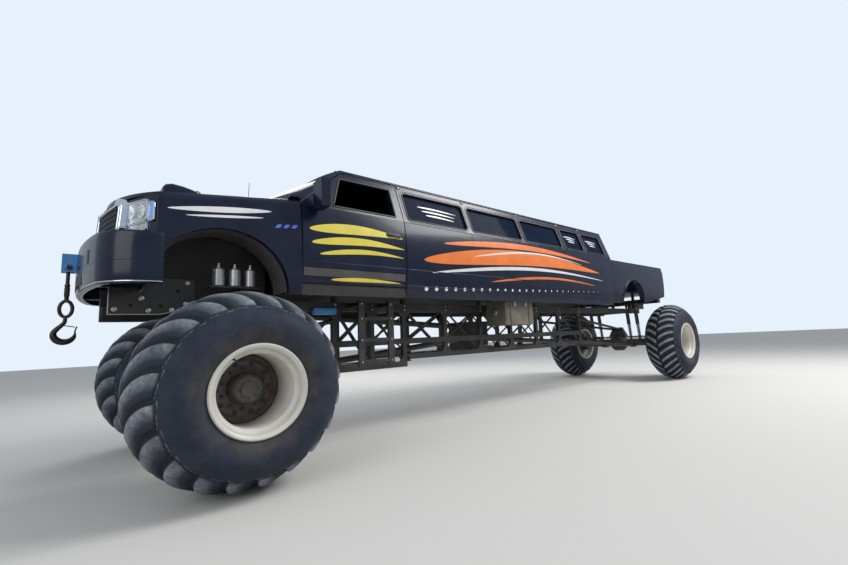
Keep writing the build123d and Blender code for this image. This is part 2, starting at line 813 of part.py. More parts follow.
# Roof: a crowned skin over the whole cab, its front edge bowed like the glass.
with BuildPart() as roof:
    with BuildSketch(cross_plane(along(cab_rear))):
        with BuildLine():
            ThreePointArc(
                (-roof_edge_x, roof_edge_z + 16), (0, roof_edge_z + roof_crown), (roof_edge_x, roof_edge_z + 16)
            )
            Polyline(
                (roof_edge_x, roof_edge_z + 16),
                (roof_edge_x, roof_edge_z),
                (roof_edge_x - wall_thickness, roof_edge_z),
            )
            ThreePointArc(
                (roof_edge_x - wall_thickness, roof_edge_z),
                (0, roof_edge_z + roof_crown - 24),
                (-roof_edge_x + wall_thickness, roof_edge_z),
            )
            Polyline(
                (-roof_edge_x + wall_thickness, roof_edge_z),
                (-roof_edge_x, roof_edge_z),
                (-roof_edge_x, roof_edge_z + 16),
            )
        make_face()
    extrude(amount=cab_rear - screen_head_mid + 40)
    with BuildSketch(Plane.XY.offset(roof_edge_z - 10)):
        with BuildLine():
            ThreePointArc(
                (-roof_edge_x - 1, along(screen_top)), (0, along(screen_head_mid + 4)), (roof_edge_x + 1, along(screen_top))
            )
            Polyline(
                (roof_edge_x + 1, along(screen_top)),
                (roof_edge_x + 1, along(cab_rear)),
                (-roof_edge_x - 1, along(cab_rear)),
                (-roof_edge_x - 1, along(screen_top)),
            )
        make_face()
    extrude(amount=200, mode=Mode.INTERSECT)
save(roof.part, "roof")

# Back wall of the cab, with its window.
with BuildPart() as cab_back:
    with BuildSketch(cross_plane(along(cab_rear))):
        with BuildLine():
            ThreePointArc((rocker_x, rocker_z), (half_width, (rocker_z + belt_z) / 2 + 60), (belt_x, belt_z))
            Polyline(
                (belt_x, belt_z),
                (roof_edge_x, roof_edge_z),
                (roof_edge_x - wall_thickness, roof_edge_z),
            )
            ThreePointArc(
                (roof_edge_x - wall_thickness, roof_edge_z),
                (0, roof_edge_z + roof_crown - 24 - seat_gap),
                (-roof_edge_x + wall_thickness, roof_edge_z),
            )
            Polyline(
                (-roof_edge_x + wall_thickness, roof_edge_z),
                (-roof_edge_x, roof_edge_z),
                (-belt_x, belt_z),
            )
            ThreePointArc((-belt_x, belt_z), (-half_width, (rocker_z + belt_z) / 2 + 60), (-rocker_x, rocker_z))
            Line((-rocker_x, rocker_z), (rocker_x, rocker_z))
        make_face()
        with Locations((0, 2560)):
            RectangleRounded(1300, 330, 60, mode=Mode.SUBTRACT)
    extrude(amount=wall_thickness)
save(cab_back.part, "cab_back")

# Fenders: a skin that narrows towards the nose, a wide arch and its inner liner.
for side_name, side in sides:
    with BuildPart() as fender:
        for station, wall_x, top_z in (
            (door_front - panel_gap, half_width - 6, bonnet_rear_z + bonnet_slope * (door_front - bonnet_rear)),
            (fender_front, fender_front_x, bonnet_front_z),
        ):
            with BuildSketch(cross_plane(along(station))):
                with BuildLine():
                    thick = fender_thickness
                    ThreePointArc(
                        (side * (wall_x - 15), rocker_z), (side * wall_x, 1900), (side * (wall_x - 40), top_z - 90)
                    )
                    ThreePointArc(
                        (side * (wall_x - 40), top_z - 90), (side * (wall_x - 62), top_z - 25), (side * lip_x, top_z)
                    )
                    Line((side * lip_x, top_z), (side * lip_x, top_z - 40))
                    ThreePointArc(
                        (side * lip_x, top_z - 40),
                        (side * (wall_x - 85), top_z - 60),
                        (side * (wall_x - 40 - thick), top_z - 110),
                    )
                    ThreePointArc(
                        (side * (wall_x - 40 - thick), top_z - 110),
                        (side * (wall_x - thick), 1900),
                        (side * (wall_x - 15 - thick), rocker_z),
                    )
                    Line((side * (wall_x - 15 - thick), rocker_z), (side * (wall_x - 15), rocker_z))
                make_face()
        loft(ruled=True)
        with BuildSketch(Plane.YZ.offset(side * half_width * 1.1)):
            with Locations((along(arch_station), arch_z)):
                Circle(arch_radius)
        extrude(amount=-side * 300, mode=Mode.SUBTRACT)
        with BuildSketch(Plane.YZ.offset(side * liner_inner_x)):
            with Locations((along(arch_station), arch_z)):
                Circle(arch_radius + 14)
                Circle(arch_radius, mode=Mode.SUBTRACT)
            with Locations((along(arch_station), arch_z - 400)):
                Rectangle(1400, 800, mode=Mode.SUBTRACT)
        extrude(amount=side * (fender_front_x - 5 - liner_inner_x))
    save(fender.part, f"fender_{side_name}")

# Bonnet: a crowned panel that hinges at the cowl, with an air scoop.
with BuildPart() as bonnet:
    with BuildSketch(bonnet_plane):
        with BuildLine():
            half = lip_x - panel_gap
            ThreePointArc((-half, 0), (0, bonnet_crown), (half, 0))
            Line((half, 0), (half, -26))
            ThreePointArc((half, -26), (0, bonnet_crown - 30), (-half, -26))
            Line((-half, -26), (-half, 0))
        make_face()
    extrude(amount=1600)
    with BuildSketch(Plane.XY.offset(2000)):
        with BuildLine():
            ThreePointArc(
                (-lip_x, along(bonnet_rear)), (0, along(bonnet_rear_mid)), (lip_x, along(bonnet_rear))
            )
            Line((lip_x, along(bonnet_rear)), (lip_x, along(fender_front)))
            ThreePointArc(
                (lip_x, along(fender_front)), (0, along(nose_mid + 10)), (-lip_x, along(fender_front))
            )
            Line((-lip_x, along(fender_front)), (-lip_x, along(bonnet_rear)))
        make_face()
    extrude(amount=1000, mode=Mode.INTERSECT)
    with BuildSketch(Plane.YZ.offset(-150)):
        with BuildLine():
            Polyline(
                (along(-380), bonnet_front_z + 60),
                (along(-360), bonnet_front_z + 190),
                (along(-100), bonnet_front_z + 215),
                (along(120), bonnet_front_z + 120),
                close=True,
            )
        make_face()
    extrude(amount=300)
save(bonnet.part, "bonnet")

# Nose panel: curved in plan, with the grille's bars and openings for the lamps.
with BuildPart() as nose_panel:
    with BuildSketch(Plane.XY.offset(nose_foot_z)):
        with BuildLine():
            ThreePointArc(
                (-fender_front_x + 10, along(fender_front) - 0.5),
                (0, along(nose_mid)),
                (fender_front_x - 10, along(fender_front) - 0.5),
            )
            Line((fender_front_x - 10, along(fender_front) - 0.5), (lip_x - 20, along(fender_front) - 0.5))
            ThreePointArc(
                (lip_x - 20, along(fender_front) - 0.5),
                (0, along(nose_mid + 55)),
                (-lip_x + 20, along(fender_front) - 0.5),
            )
            Line((-lip_x + 20, along(fender_front) - 0.5), (-fender_front_x + 10, along(fender_front) - 0.5))
        make_face()
    extrude(amount=bonnet_front_z - 40 - nose_foot_z)
    with BuildSketch(cross_plane(along(-400))):
        with Locations((0, lamp_z)):
            with GridLocations(86, 0, 10, 1):
                Rectangle(62, 236)
        for side_name, side in sides:
            with Locations((side * (lamp_inner_x + lamp_outer_x) / 2, lamp_z)):
                Rectangle(lamp_outer_x - lamp_inner_x, lamp_height)
    extrude(amount=600, mode=Mode.SUBTRACT)
save(nose_panel.part, "nose_panel")

# Head lamps fill the nose panel's openings; tail lamps sit on the bed's rear edges.
with BuildPart() as lamps:
    with BuildSketch(Plane.XY.offset(lamp_z - lamp_height / 2 + seat_gap)):
        with BuildLine():
            ThreePointArc(
                (-fender_front_x + 10, along(fender_front) - 8),
                (0, along(nose_mid - 8)),
                (fender_front_x - 10, along(fender_front) - 8),
            )
            Line((fender_front_x - 10, along(fender_front) - 8), (lip_x - 20, along(fender_front) - 8))
            ThreePointArc(
                (lip_x - 20, along(fender_front) - 8),
                (0, along(nose_mid + 40)),
                (-lip_x + 20, along(fender_front) - 8),
            )
            Line((-lip_x + 20, along(fender_front) - 8), (-fender_front_x + 10, along(fender_front) - 8))
        make_face()
        with Locations((0, along(-600))):
            Rectangle(2 * (lamp_inner_x + seat_gap), 800, mode=Mode.SUBTRACT)
        for side_name, side in sides:
            with Locations((side * (lamp_outer_x - seat_gap + 100), along(-600))):
                Rectangle(200, 800, mode=Mode.SUBTRACT)
    extrude(amount=lamp_height - 2 * seat_gap)
    for side_name, side in sides:
        with Locations((side * 935, along(bed_rear + 12), 2050)):
            Box(100, 24 - seat_gap, 360)
save(lamps.part, "lamps")

# Front bumper: a deep painted apron round the nose, with stays to the horn plates.
with BuildPart() as bumper:
    with BuildSketch(Plane.XY.offset(bumper_foot_z)):
        with BuildLine():
            for inset, way in ((0, 1), (40, -1)):
                corner = (800 - inset / 4, along(-850) + inset)
                shoulder = (950 - inset * 0.85, along(-740) + inset / 2)
                tail = (half_width - inset, along(bumper_tail))
                ThreePointArc(
                    (-corner[0], corner[1]), (0, along(bumper_front) + inset), corner
                )
                ThreePointArc(corner, shoulder, tail)
                ThreePointArc((-corner[0], corner[1]), (-shoulder[0], shoulder[1]), (-tail[0], tail[1]))
            Line((half_width, along(bumper_tail)), (half_width - 40, along(bumper_tail)))
            Line((-half_width, along(bumper_tail)), (-half_width + 40, along(bumper_tail)))
        make_face()
    extrude(amount=bumper_height)
    for side_name, side in sides:
        with Locations((side * (rail_x + rail_width / 2 + 24 + seat_gap + 20), along(-720), bumper_foot_z + 60)):
            Box(40, 330, 80)
save(bumper.part, "front_bumper")

# Bed: floor, front wall and sides with wheel cut-outs, on stands from the rails.
with BuildPart() as bed:
    inner_x = half_width - 120
    with Locations((0, along((cab_rear + bed_rear) / 2), bed_floor_z)):
        Box(2 * inner_x + 10, bed_rear - cab_rear - 80, 40)
    with Locations((0, along(cab_rear + 30), (bed_floor_z + bed_rail_z) / 2)):
        Box(2 * inner_x + 10, 40, bed_rail_z - bed_floor_z)
    for side_name, side in sides:
        with BuildSketch(cross_plane(along(bed_rear))):
            with BuildLine():
                ThreePointArc((side * 955, 1540), (side * half_width, 1950), (side * 970, bed_rail_z))
                Polyline(
                    (side * 970, bed_rail_z),
                    (side * inner_x, bed_rail_z),
                    (side * inner_x, 1540),
                    (side * 955, 1540),
                )
            make_face()
        extrude(amount=bed_rear - cab_rear - panel_gap)
        with BuildSketch(Plane.YZ.offset(side * half_width * 1.1)):
            with Locations((along(bed_arch_station), 1540)):
                Circle(bed_arch_radius)
            with BuildLine():
                Polyline(
                    (along(bed_arch_station + 400), 1530), (along(bed_rear) + 1, 1690), (along(bed_rear) + 1, 1530), close=True
                )
            make_face()
        extrude(amount=-side * 300, mode=Mode.SUBTRACT)
        for station in (6600, 7300, 8210):
            with Locations((side * rail_x, along(station), (rail_top + bed_floor_z) / 2)):
                Cylinder(32, bed_floor_z - rail_top)
save(bed.part, "bed")

# Tailgate, hinged at its foot.
with BuildPart() as tailgate:
    with BuildSketch(cross_plane(along(bed_rear))):
        with Locations((0, (bed_floor_z + 30 + bed_rail_z) / 2)):
            RectangleRounded(2 * inner_x - 20, bed_rail_z - bed_floor_z - 30, 20)
    extrude(amount=45)
save(tailgate.part, "tailgate")

# Rear bumper on stays over the rails, with a tow eye plate.
with BuildPart() as rear_bumper:
    with Locations((0, along(bed_rear + 90), 1640)):
        Box(1640, 120, 110)
    for side_name, side in sides:
        with Locations((side * rail_x, along(bed_rear - 80), rail_top + 60)):
            Box(60, 360, 120)
    with BuildSketch(Plane.YZ.offset(-tow_eye_thickness / 2)):
        with Locations((along(bed_rear + 190), 1640)):
            Rectangle(110, 100)
            with Locations((10, 0)):
                Circle(tow_eye_radius, mode=Mode.SUBTRACT)
    extrude(amount=tow_eye_thickness)
save(rear_bumper.part, "rear_bumper")

# Seats: two front seats and four rows of benches.
with BuildPart() as seats:
    for station, seat_width, places in (
        (1250, 560, (-400, 400)),
        (2500, 1500, (0,)),
        (3450, 1500, (0,)),
        (4400, 1500, (0,)),
        (5350, 1500, (0,)),
    ):
        for x in places:
            with BuildSketch(Plane.YZ.offset(x - seat_width / 2)):
                with BuildLine():
                    Polyline(
                        (along(station), floor_z + seat_gap),
                        (along(station), floor_z + 420),
                        (along(station + 420), floor_z + 380),
                        (along(station + 560), floor_z + 960),
                        (along(station + 670), floor_z + 940),
                        (along(station + 540), floor_z + seat_gap),
                        close=True,
                    )
                make_face()
            extrude(amount=seat_width)
save(seats.part, "seats")

# Dashboard and steering wheel.
with BuildPart() as dashboard:
    dash_front = along(firewall_front + 30 + seat_gap)
    with BuildSketch(Plane.YZ.offset(-850)):
        with BuildLine():
            Polyline(
                (dash_front, 2220),
                (dash_front + 260, 2250),
                (dash_front + 320, 2150),
                (dash_front + 200, 1900),
                (dash_front, 1850),
                close=True,
            )
        make_face()
    extrude(amount=1700)
    hub = Vector(400, along(screen_base + 500), 2190)
    wheel_tilt = Plane(origin=hub, x_dir=(1, 0, 0), z_dir=(0, 1, 0.55))
    with BuildSketch(wheel_tilt):
        Circle(200)
        Circle(172, mode=Mode.SUBTRACT)
        Rectangle(360, 30)
        Circle(50)
    extrude(amount=14, both=True)
    with BuildSketch(wheel_tilt):
        Circle(25)
    extrude(amount=-260)
save(dashboard.part, "dashboard")

# Bracket on the bumper and the crane hook that hangs from it.
hook_y = along(bumper_front - 62)
with BuildPart() as hook_bracket:
    plate_y = along(bumper_front) - seat_gap
    for side_name, side in sides:
        with Locations((side * 40, (plate_y + hook_y - 45) / 2, 1800)):
            Box(16, plate_y - hook_y + 45, 150)
    with Locations((0, plate_y - 12, 1800)):
        Box(96, 24, 150)
    with Locations((0, hook_y, hook_pin_z)):
        Cylinder(hook_pin_radius + 0.5, 200, rotation=(0, 90, 0), mode=Mode.SUBTRACT)
save(hook_bracket.part, "hook_bracket")

with BuildPart() as hook:
    with Locations((0, hook_y, hook_pin_z)):
        Cylinder(hook_pin_radius, 100, rotation=(0, 90, 0))
        Cylinder(26, 50, rotation=(0, 90, 0))
    with Locations((0, hook_y, hook_pin_z - 160)):
        Cylinder(13, 300)
    with BuildSketch(Plane.YZ.offset(-22)):
        with Locations((hook_y, hook_pin_z - 400)):
            Circle(110)
            Circle(58, mode=Mode.SUBTRACT)
        with Locations((hook_y - 85, hook_pin_z - 360)):
            Rectangle(110, 60, mode=Mode.SUBTRACT)
    extrude(amount=44)
save(hook.part, "crane_hook")
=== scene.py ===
import json
from collections import namedtuple
from math import cos, pi, radians, sin, tau

import bpy
import numpy as np
from mathutils import Matrix, Vector


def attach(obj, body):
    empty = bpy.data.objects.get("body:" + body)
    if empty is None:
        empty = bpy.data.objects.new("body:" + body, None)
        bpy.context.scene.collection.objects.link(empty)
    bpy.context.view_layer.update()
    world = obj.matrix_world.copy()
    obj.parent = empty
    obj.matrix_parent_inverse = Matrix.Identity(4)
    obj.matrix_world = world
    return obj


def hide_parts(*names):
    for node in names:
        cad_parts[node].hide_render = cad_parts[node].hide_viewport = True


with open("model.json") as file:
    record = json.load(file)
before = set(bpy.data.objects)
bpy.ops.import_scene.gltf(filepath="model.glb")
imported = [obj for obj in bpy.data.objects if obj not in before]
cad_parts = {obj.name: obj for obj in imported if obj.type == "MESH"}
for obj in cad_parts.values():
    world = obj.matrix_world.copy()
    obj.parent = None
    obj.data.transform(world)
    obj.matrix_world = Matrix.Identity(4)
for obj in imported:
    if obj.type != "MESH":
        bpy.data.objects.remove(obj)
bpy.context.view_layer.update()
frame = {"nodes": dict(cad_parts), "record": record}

scene = bpy.context.scene

# Metres. Stations are measured back from the front axle, as in the part's source. Left is +X.
JOINTS = {joint["name"]: joint for joint in frame["record"]["behaviour"]["joints"]}
FRONT_AXLE = JOINTS["front_left_spin"]["pos_m"][1]
REAR_AXLE = JOINTS["rear_left_spin"]["pos_m"][1]
LEFT, RIGHT = 1.0, -1.0
SIDES = (("left", LEFT), ("right", RIGHT))
X_AXIS, Y_AXIS, Z_AXIS = (1, 0, 0), (0, 1, 0), (0, 0, 1)

# One row for each axle: way is 1 for the front and -1 for the rear, whose shock absorbers and case covers
# face the other way; radius is also the axle's height. Lugs turn by sweep from crown to shoulder, crest is
# a lug's share of its pitch, dark_x the distance from the middle plane at which painted shade begins
# inside the rim's dish.
Axle = namedtuple("Axle", "name y way wheel_x radius half_width rim_radius lugs sweep crest kingpin_x dark_x")
AXLES = (
    Axle("front", FRONT_AXLE, 1, 1.250, 0.730, 0.480, 0.300, 20, 0.34, 0.78, 0.850, 1.26),
    Axle("rear", REAR_AXLE, -1, 1.173, 0.750, 0.350, 0.330, 30, 0.20, 0.44, 0.905, 1.05),
)


def along(station):
    """Place on the truck's length of a station behind the front axle."""
    return FRONT_AXLE + station


# Camera

PHOTO_WIDTH = 848
FOCAL_PIXELS = 431.3
SENSOR_WIDTH = 36.0
FAR_CLIP = 200.0
CAMERA_PLACE = (4.837, along(-1.019), 1.017)
CAMERA_YAW = 0.8165
CAMERA_PITCH = 0.1287
CAMERA_ROLL = -0.050
CAMERA_SHIFT = -0.0472


def aim_camera():
    """A camera that looks along yaw and pitch, rolled about its own axis."""
    data = bpy.data.cameras.new("photo_camera")
    data.sensor_width = SENSOR_WIDTH
    data.lens = FOCAL_PIXELS / PHOTO_WIDTH * SENSOR_WIDTH
    data.shift_x = CAMERA_SHIFT
    data.clip_end = FAR_CLIP
    level = cos(CAMERA_PITCH)
    forward = Vector((-sin(CAMERA_YAW) * level, cos(CAMERA_YAW) * level, sin(CAMERA_PITCH)))
    right = forward.cross(Vector(Z_AXIS)).normalized()
    up = right.cross(forward)
    rolled_right = cos(CAMERA_ROLL) * right + sin(CAMERA_ROLL) * up
    rolled_up = cos(CAMERA_ROLL) * up - sin(CAMERA_ROLL) * right
    turn = Matrix((rolled_right, rolled_up, -forward)).transposed().to_4x4()
    camera = bpy.data.objects.new("photo_camera", data)
    camera.matrix_world = Matrix.Translation(CAMERA_PLACE) @ turn
    scene.collection.objects.link(camera)
    scene.camera = camera


# Shapes from arrays: each is (points, [face arrays])


def spots(x, y, z):
    """Points from three coordinates, each an array or one value."""
    return np.stack(np.broadcast_arrays(x, y, z), -1).astype(float)


def grid_faces(rows, columns, close_rows=False, close_columns=False):
    """Quads of a grid of points, joined round in either direction."""
    i = np.arange(rows if close_rows else rows - 1)[:, None]
    j = np.arange(columns if close_columns else columns - 1)[None, :]
    next_i, next_j = (i + 1) % rows, (j + 1) % columns
    corners = (i * columns + j, i * columns + next_j, next_i * columns + next_j, next_i * columns + j)
    return np.stack(corners, -1).reshape(-1, 4)


def gather(*shapes):
    """Several shapes as one: their faces are numbered on."""
    points, faces, start = [], [], 0
    for shape_points, shape_faces in shapes:
        shape_points = np.asarray(shape_points, float).reshape(-1, 3)
        points.append(shape_points)
        faces.extend(np.asarray(block) + start for block in shape_faces)
        start += len(shape_points)
    return np.concatenate(points), faces


def outward(points, faces):
    """Faces turned so that the closed shape's signed volume is positive."""
    middle = points.mean(0)
    volume = 0.0
    for block in faces:
        corner = points[block] - middle
        for k in range(1, block.shape[1] - 1):
            volume += np.einsum("ij,ij->i", corner[:, 0], np.cross(corner[:, k], corner[:, k + 1])).sum()
    return faces if volume > 0 else [block[:, ::-1] for block in faces]


def rings(stack):
    """A closed solid from a stack of equal rings (n, m, 3): sides, then a fan on each end ring."""
    stack = np.asarray(stack, float)
    count, sides = stack.shape[:2]
    points = np.concatenate([stack.reshape(-1, 3), stack[0].mean(0)[None], stack[-1].mean(0)[None]])
    ring = np.arange(sides)
    after = (ring + 1) % sides
    last = (count - 1) * sides
    near = np.stack([np.full(sides, count * sides), after, ring], -1)
    far = np.stack([np.full(sides, count * sides + 1), last + ring, last + after], -1)
    return points, outward(points, [grid_faces(count, sides, close_columns=True), near, far])


def frames_along(path, closed, up):
    """Two cross directions at each point of a path, square to it and kept near one up direction."""
    ahead = np.roll(path, -1, 0) - np.roll(path, 1, 0) if closed else np.gradient(path, axis=0)
    ahead /= np.linalg.norm(ahead, axis=1)[:, None]
    across = np.cross(ahead, np.asarray(up, float))
    across /= np.linalg.norm(across, axis=1)[:, None]
    return across, np.cross(across, ahead)


def carried(path, section, closed=False, up=Z_AXIS, scale=1.0):
    """A section (m, 2) carried square along a path; scale shrinks it along the way; ends are capped."""
    path = np.asarray(path, float)
    across, over = frames_along(path, closed, up)
    size = np.broadcast_to(np.asarray(scale, float), len(path))
    ring = section[None, :, 0, None] * across[:, None] + section[None, :, 1, None] * over[:, None]
    stack = path[:, None] + ring * size[:, None, None]
    if closed:
        points = stack.reshape(-1, 3)
        return points, outward(points, [grid_faces(len(path), len(section), True, True)])
    return rings(stack)


def circle(radius, count=12):
    """A ring of points round the origin."""
    turn = np.arange(count) * tau / count
    return np.stack([radius * np.cos(turn), radius * np.sin(turn)], -1)


def rounded(width, height, corner, steps=4):
    """A rectangle with round corners, point by point round its outline."""
    turn = np.linspace(0, pi / 2, steps + 1)
    arcs = []
    for k, (sx, sz) in enumerate(((1, 1), (-1, 1), (-1, -1), (1, -1))):
        centre = np.array([sx * (width / 2 - corner), sz * (height / 2 - corner)])
        angle = turn + k * pi / 2
        arcs.append(centre + corner * np.stack([np.cos(angle), np.sin(angle)], -1))
    return np.concatenate(arcs)


def turned(place, axis, profile, sides=20):
    """A lathe shape: rows of (height, radius) turned about an axis through a place."""
    axis = Vector(axis).normalized()
    first = axis.orthogonal().normalized()
    second = np.array(axis.cross(first))
    turn = np.arange(sides) * tau / sides
    around = np.cos(turn)[:, None] * np.array(first) + np.sin(turn)[:, None] * second
    smallest = 1e-4
    place, axis = np.array(place), np.array(axis)
    stack = [place + axis * height + around * max(radius, smallest) for height, radius in profile]
    return rings(stack)


def box_plate(place, out, wide, width, height, thick, corner=0.01, bevel=0.003):
    """A flat plate with round corners and soft edges that stands out from a place."""
    out = np.array(Vector(out).normalized())
    wide = np.array(Vector(wide).normalized())
    high = np.cross(out, wide)
    part = 0.3 * bevel
    stack = []
    for level, inset in ((0.0, 0.0), (thick - bevel, 0.0), (thick - part, part), (thick, bevel)):
        ring = rounded(width - 2 * inset, height - 2 * inset, max(corner - inset, 1e-3))
        stack.append(np.array(place) + out * level + ring[:, :1] * wide + ring[:, 1:] * high)
    return rings(stack)


def bolt(place, axis, radius, height):
    """A hexagon head with a softened top."""
    return turned(place, axis, ((0, radius), (height * 0.8, radius), (height, radius * 0.82)), sides=6)


SHARP_ANGLE = radians(40)


def make_piece(
    name, slot, *shapes, body="chassis", look=None, smooth=True, towards=None, attributes=(), replaces=()
):
    """A mesh object of several shapes that rides on a body, in a slot, with the slot's look or another."""
    points, faces = gather(*shapes)
    sizes = np.concatenate([np.full(len(block), block.shape[1]) for block in faces])
    if towards is not None:
        first = points[faces[0]]
        normal = np.cross(first[:, 1] - first[:, 0], first[:, 2] - first[:, 0]).sum(0)
        if normal @ np.array(towards) < 0:
            faces = [block[:, ::-1] for block in faces]
    corners = np.concatenate([block.ravel() for block in faces]).astype(np.int32)
    mesh = bpy.data.meshes.new(name)
    mesh.vertices.add(len(points))
    mesh.vertices.foreach_set("co", points.astype(np.float32).ravel())
    mesh.loops.add(len(corners))
    mesh.loops.foreach_set("vertex_index", corners)
    mesh.polygons.add(len(sizes))
    mesh.polygons.foreach_set("loop_start", np.concatenate([[0], np.cumsum(sizes)[:-1]]).astype(np.int32))
    mesh.polygons.foreach_set("use_smooth", np.full(len(sizes), smooth))
    for key, values in attributes:
        data = mesh.attributes.new(key, "FLOAT", "POINT").data
        data.foreach_set("value", values.astype(np.float32).ravel())
    mesh.update(calc_edges=True)
    mesh.validate()
    if smooth:
        mesh.set_sharp_from_angle(angle=SHARP_ANGLE)
    obj = bpy.data.objects.new(name, mesh)
    scene.collection.objects.link(obj)
    obj.data.materials.append(FINISHES[look or slot])
    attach(obj, body)
    if replaces:
        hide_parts(*replaces)
    return obj


def smoothstep(low, high, value):
    """0 below low, 1 above high, an S curve between."""
    share = np.clip((value - low) / (high - low), 0, 1)
    return share * share * (3 - 2 * share)


def three_point_circle(a, b, c):
    """Centre and radius of the circle through three points."""
    (ax, ay), (bx, by), (cx, cy) = a, b, c
    a2, b2, c2 = ax**2 + ay**2, bx**2 + by**2, cx**2 + cy**2
    d = 2 * (ax * (by - cy) + bx * (cy - ay) + cx * (ay - by))
    x = (a2 * (by - cy) + b2 * (cy - ay) + c2 * (ay - by)) / d
    y = (a2 * (cx - bx) + b2 * (ax - cx) + c2 * (bx - ax)) / d
    return np.array([x, y]), float(np.hypot(ax - x, ay - y))


def arc_through(a, b, c, count):
    """Points evenly along the arc from a by b to c."""
    centre, radius = three_point_circle(a, b, c)
    start, middle, end = (np.arctan2(p[1] - centre[1], p[0] - centre[0]) for p in (a, b, c))
    forward = (middle - start) % tau < (end - start) % tau
    sweep = (end - start) % tau if forward else -((start - end) % tau)
    angle = start + np.linspace(0, 1, count) * sweep
    return centre + radius * np.stack([np.cos(angle), np.sin(angle)], -1)


# Section of the cab wall, as half width against height.
ROCKER = (0.950, 1.490)
WAIST = (1.000, 1.980)
BELT = (0.968, 2.350)
EAVE = (0.790, 2.830)
WALL_CENTRE, WALL_RADIUS = three_point_circle(ROCKER, WAIST, BELT)
WALL_LEAN = (EAVE[0] - BELT[0]) / (EAVE[1] - BELT[1])
LEANING_OUT = 0.37  # how far the wall's outward direction looks up, over the belt


def wall_x(level):
    """Half width of the cab wall: the bulging arc up to the belt, then the line that leans in to the eave."""
    level = np.asarray(level, float)
    below = WALL_CENTRE[0] + np.sqrt(np.maximum(WALL_RADIUS**2 - (level - WALL_CENTRE[1]) ** 2, 0))
    return np.where(level < BELT[1], below, BELT[0] + (level - BELT[1]) * WALL_LEAN)


def on_wall(side, station, level, proud=0.0):
    """Points on the cab wall at a station and height, standing proud by a distance."""
    station, level = np.broadcast_arrays(np.asarray(station, float), np.asarray(level, float))
    return spots(side * (wall_x(level) + proud), along(station), level)


# Materials


class Nodes:
    """Short calls that add and link the nodes of one tree."""

    def __init__(self, tree):
        self.tree = tree

    def add(self, kind, inputs=None, **settings):
        node = self.tree.nodes.new(kind)
        for key, value in settings.items():
            setattr(node, key, value)
        for key, value in (inputs or {}).items():
            socket = node.inputs[key]
            if isinstance(value, bpy.types.NodeSocket):
                self.tree.links.new(value, socket)
            else:
                socket.default_value = value
        return node

    def place(self):
        return self.add("ShaderNodeTexCoord").outputs["Object"]

    def parts(self, vector):
        return self.add("ShaderNodeSeparateXYZ", {0: vector}).outputs

    def maths(self, operation, first, second=0.0, clamp=False):
        inputs = {0: first, 1: second}
        return self.add("ShaderNodeMath", inputs, operation=operation, use_clamp=clamp).outputs[0]

    def times(self, first, second, clamp=False):
        return self.maths("MULTIPLY", first, second, clamp)

    def ramp(self, value, low, high, out_low=0.0, out_high=1.0):
        """Value carried from low..high to out_low..out_high, held at the ends."""
        return self.add("ShaderNodeMapRange", {0: value, 1: low, 2: high, 3: out_low, 4: out_high}).outputs[0]

    def noise(self, place, scale, detail=4.0, roughness=0.5):
        inputs = {"Vector": place, "Scale": scale, "Detail": detail, "Roughness": roughness}
        return self.add("ShaderNodeTexNoise", inputs).outputs[0]

    def cells(self, place, scale):
        """Distance to the nearest edge between cells."""
        inputs = {"Vector": place, "Scale": scale}
        return self.add("ShaderNodeTexVoronoi", inputs, feature="DISTANCE_TO_EDGE").outputs[0]

    def mix(self, share, first, second):
        return self.add("ShaderNodeMix", {0: share, 6: first, 7: second}, data_type="RGBA").outputs[2]

    def attribute(self, name):
        return self.add("ShaderNodeAttribute", attribute_name=name).outputs["Fac"]

    def bump(self, strength, distance, height):
        inputs = {"Strength": strength, "Distance": distance, "Height": height}
        return self.add("ShaderNodeBump", inputs).outputs["Normal"]

    def surface(self, inputs):
        """The shader, with its inputs, as the material's surface."""
        shader = self.add("ShaderNodeBsdfPrincipled", inputs)
        self.add("ShaderNodeOutputMaterial", {"Surface": shader.outputs[0]})


def shade(colour):
    """A colour with full alpha."""
    return (*colour, 1.0)


def new_group(name, inputs, outputs):
    """A shader node group with named inputs (name, colour or value) and outputs (name, is it a colour)."""
    tree = bpy.data.node_groups.new(name, "ShaderNodeTree")
    kinds = {True: "NodeSocketColor", False: "NodeSocketFloat"}
    for label, value in inputs:
        kind = kinds[isinstance(value, tuple)]
        tree.interface.new_socket(label, in_out="INPUT", socket_type=kind).default_value = value
    for label, is_colour in outputs:
        tree.interface.new_socket(label, in_out="OUTPUT", socket_type=kinds[is_colour])
    nodes = Nodes(tree)
    return tree, nodes, nodes.add("NodeGroupInput").outputs, nodes.add("NodeGroupOutput").inputs


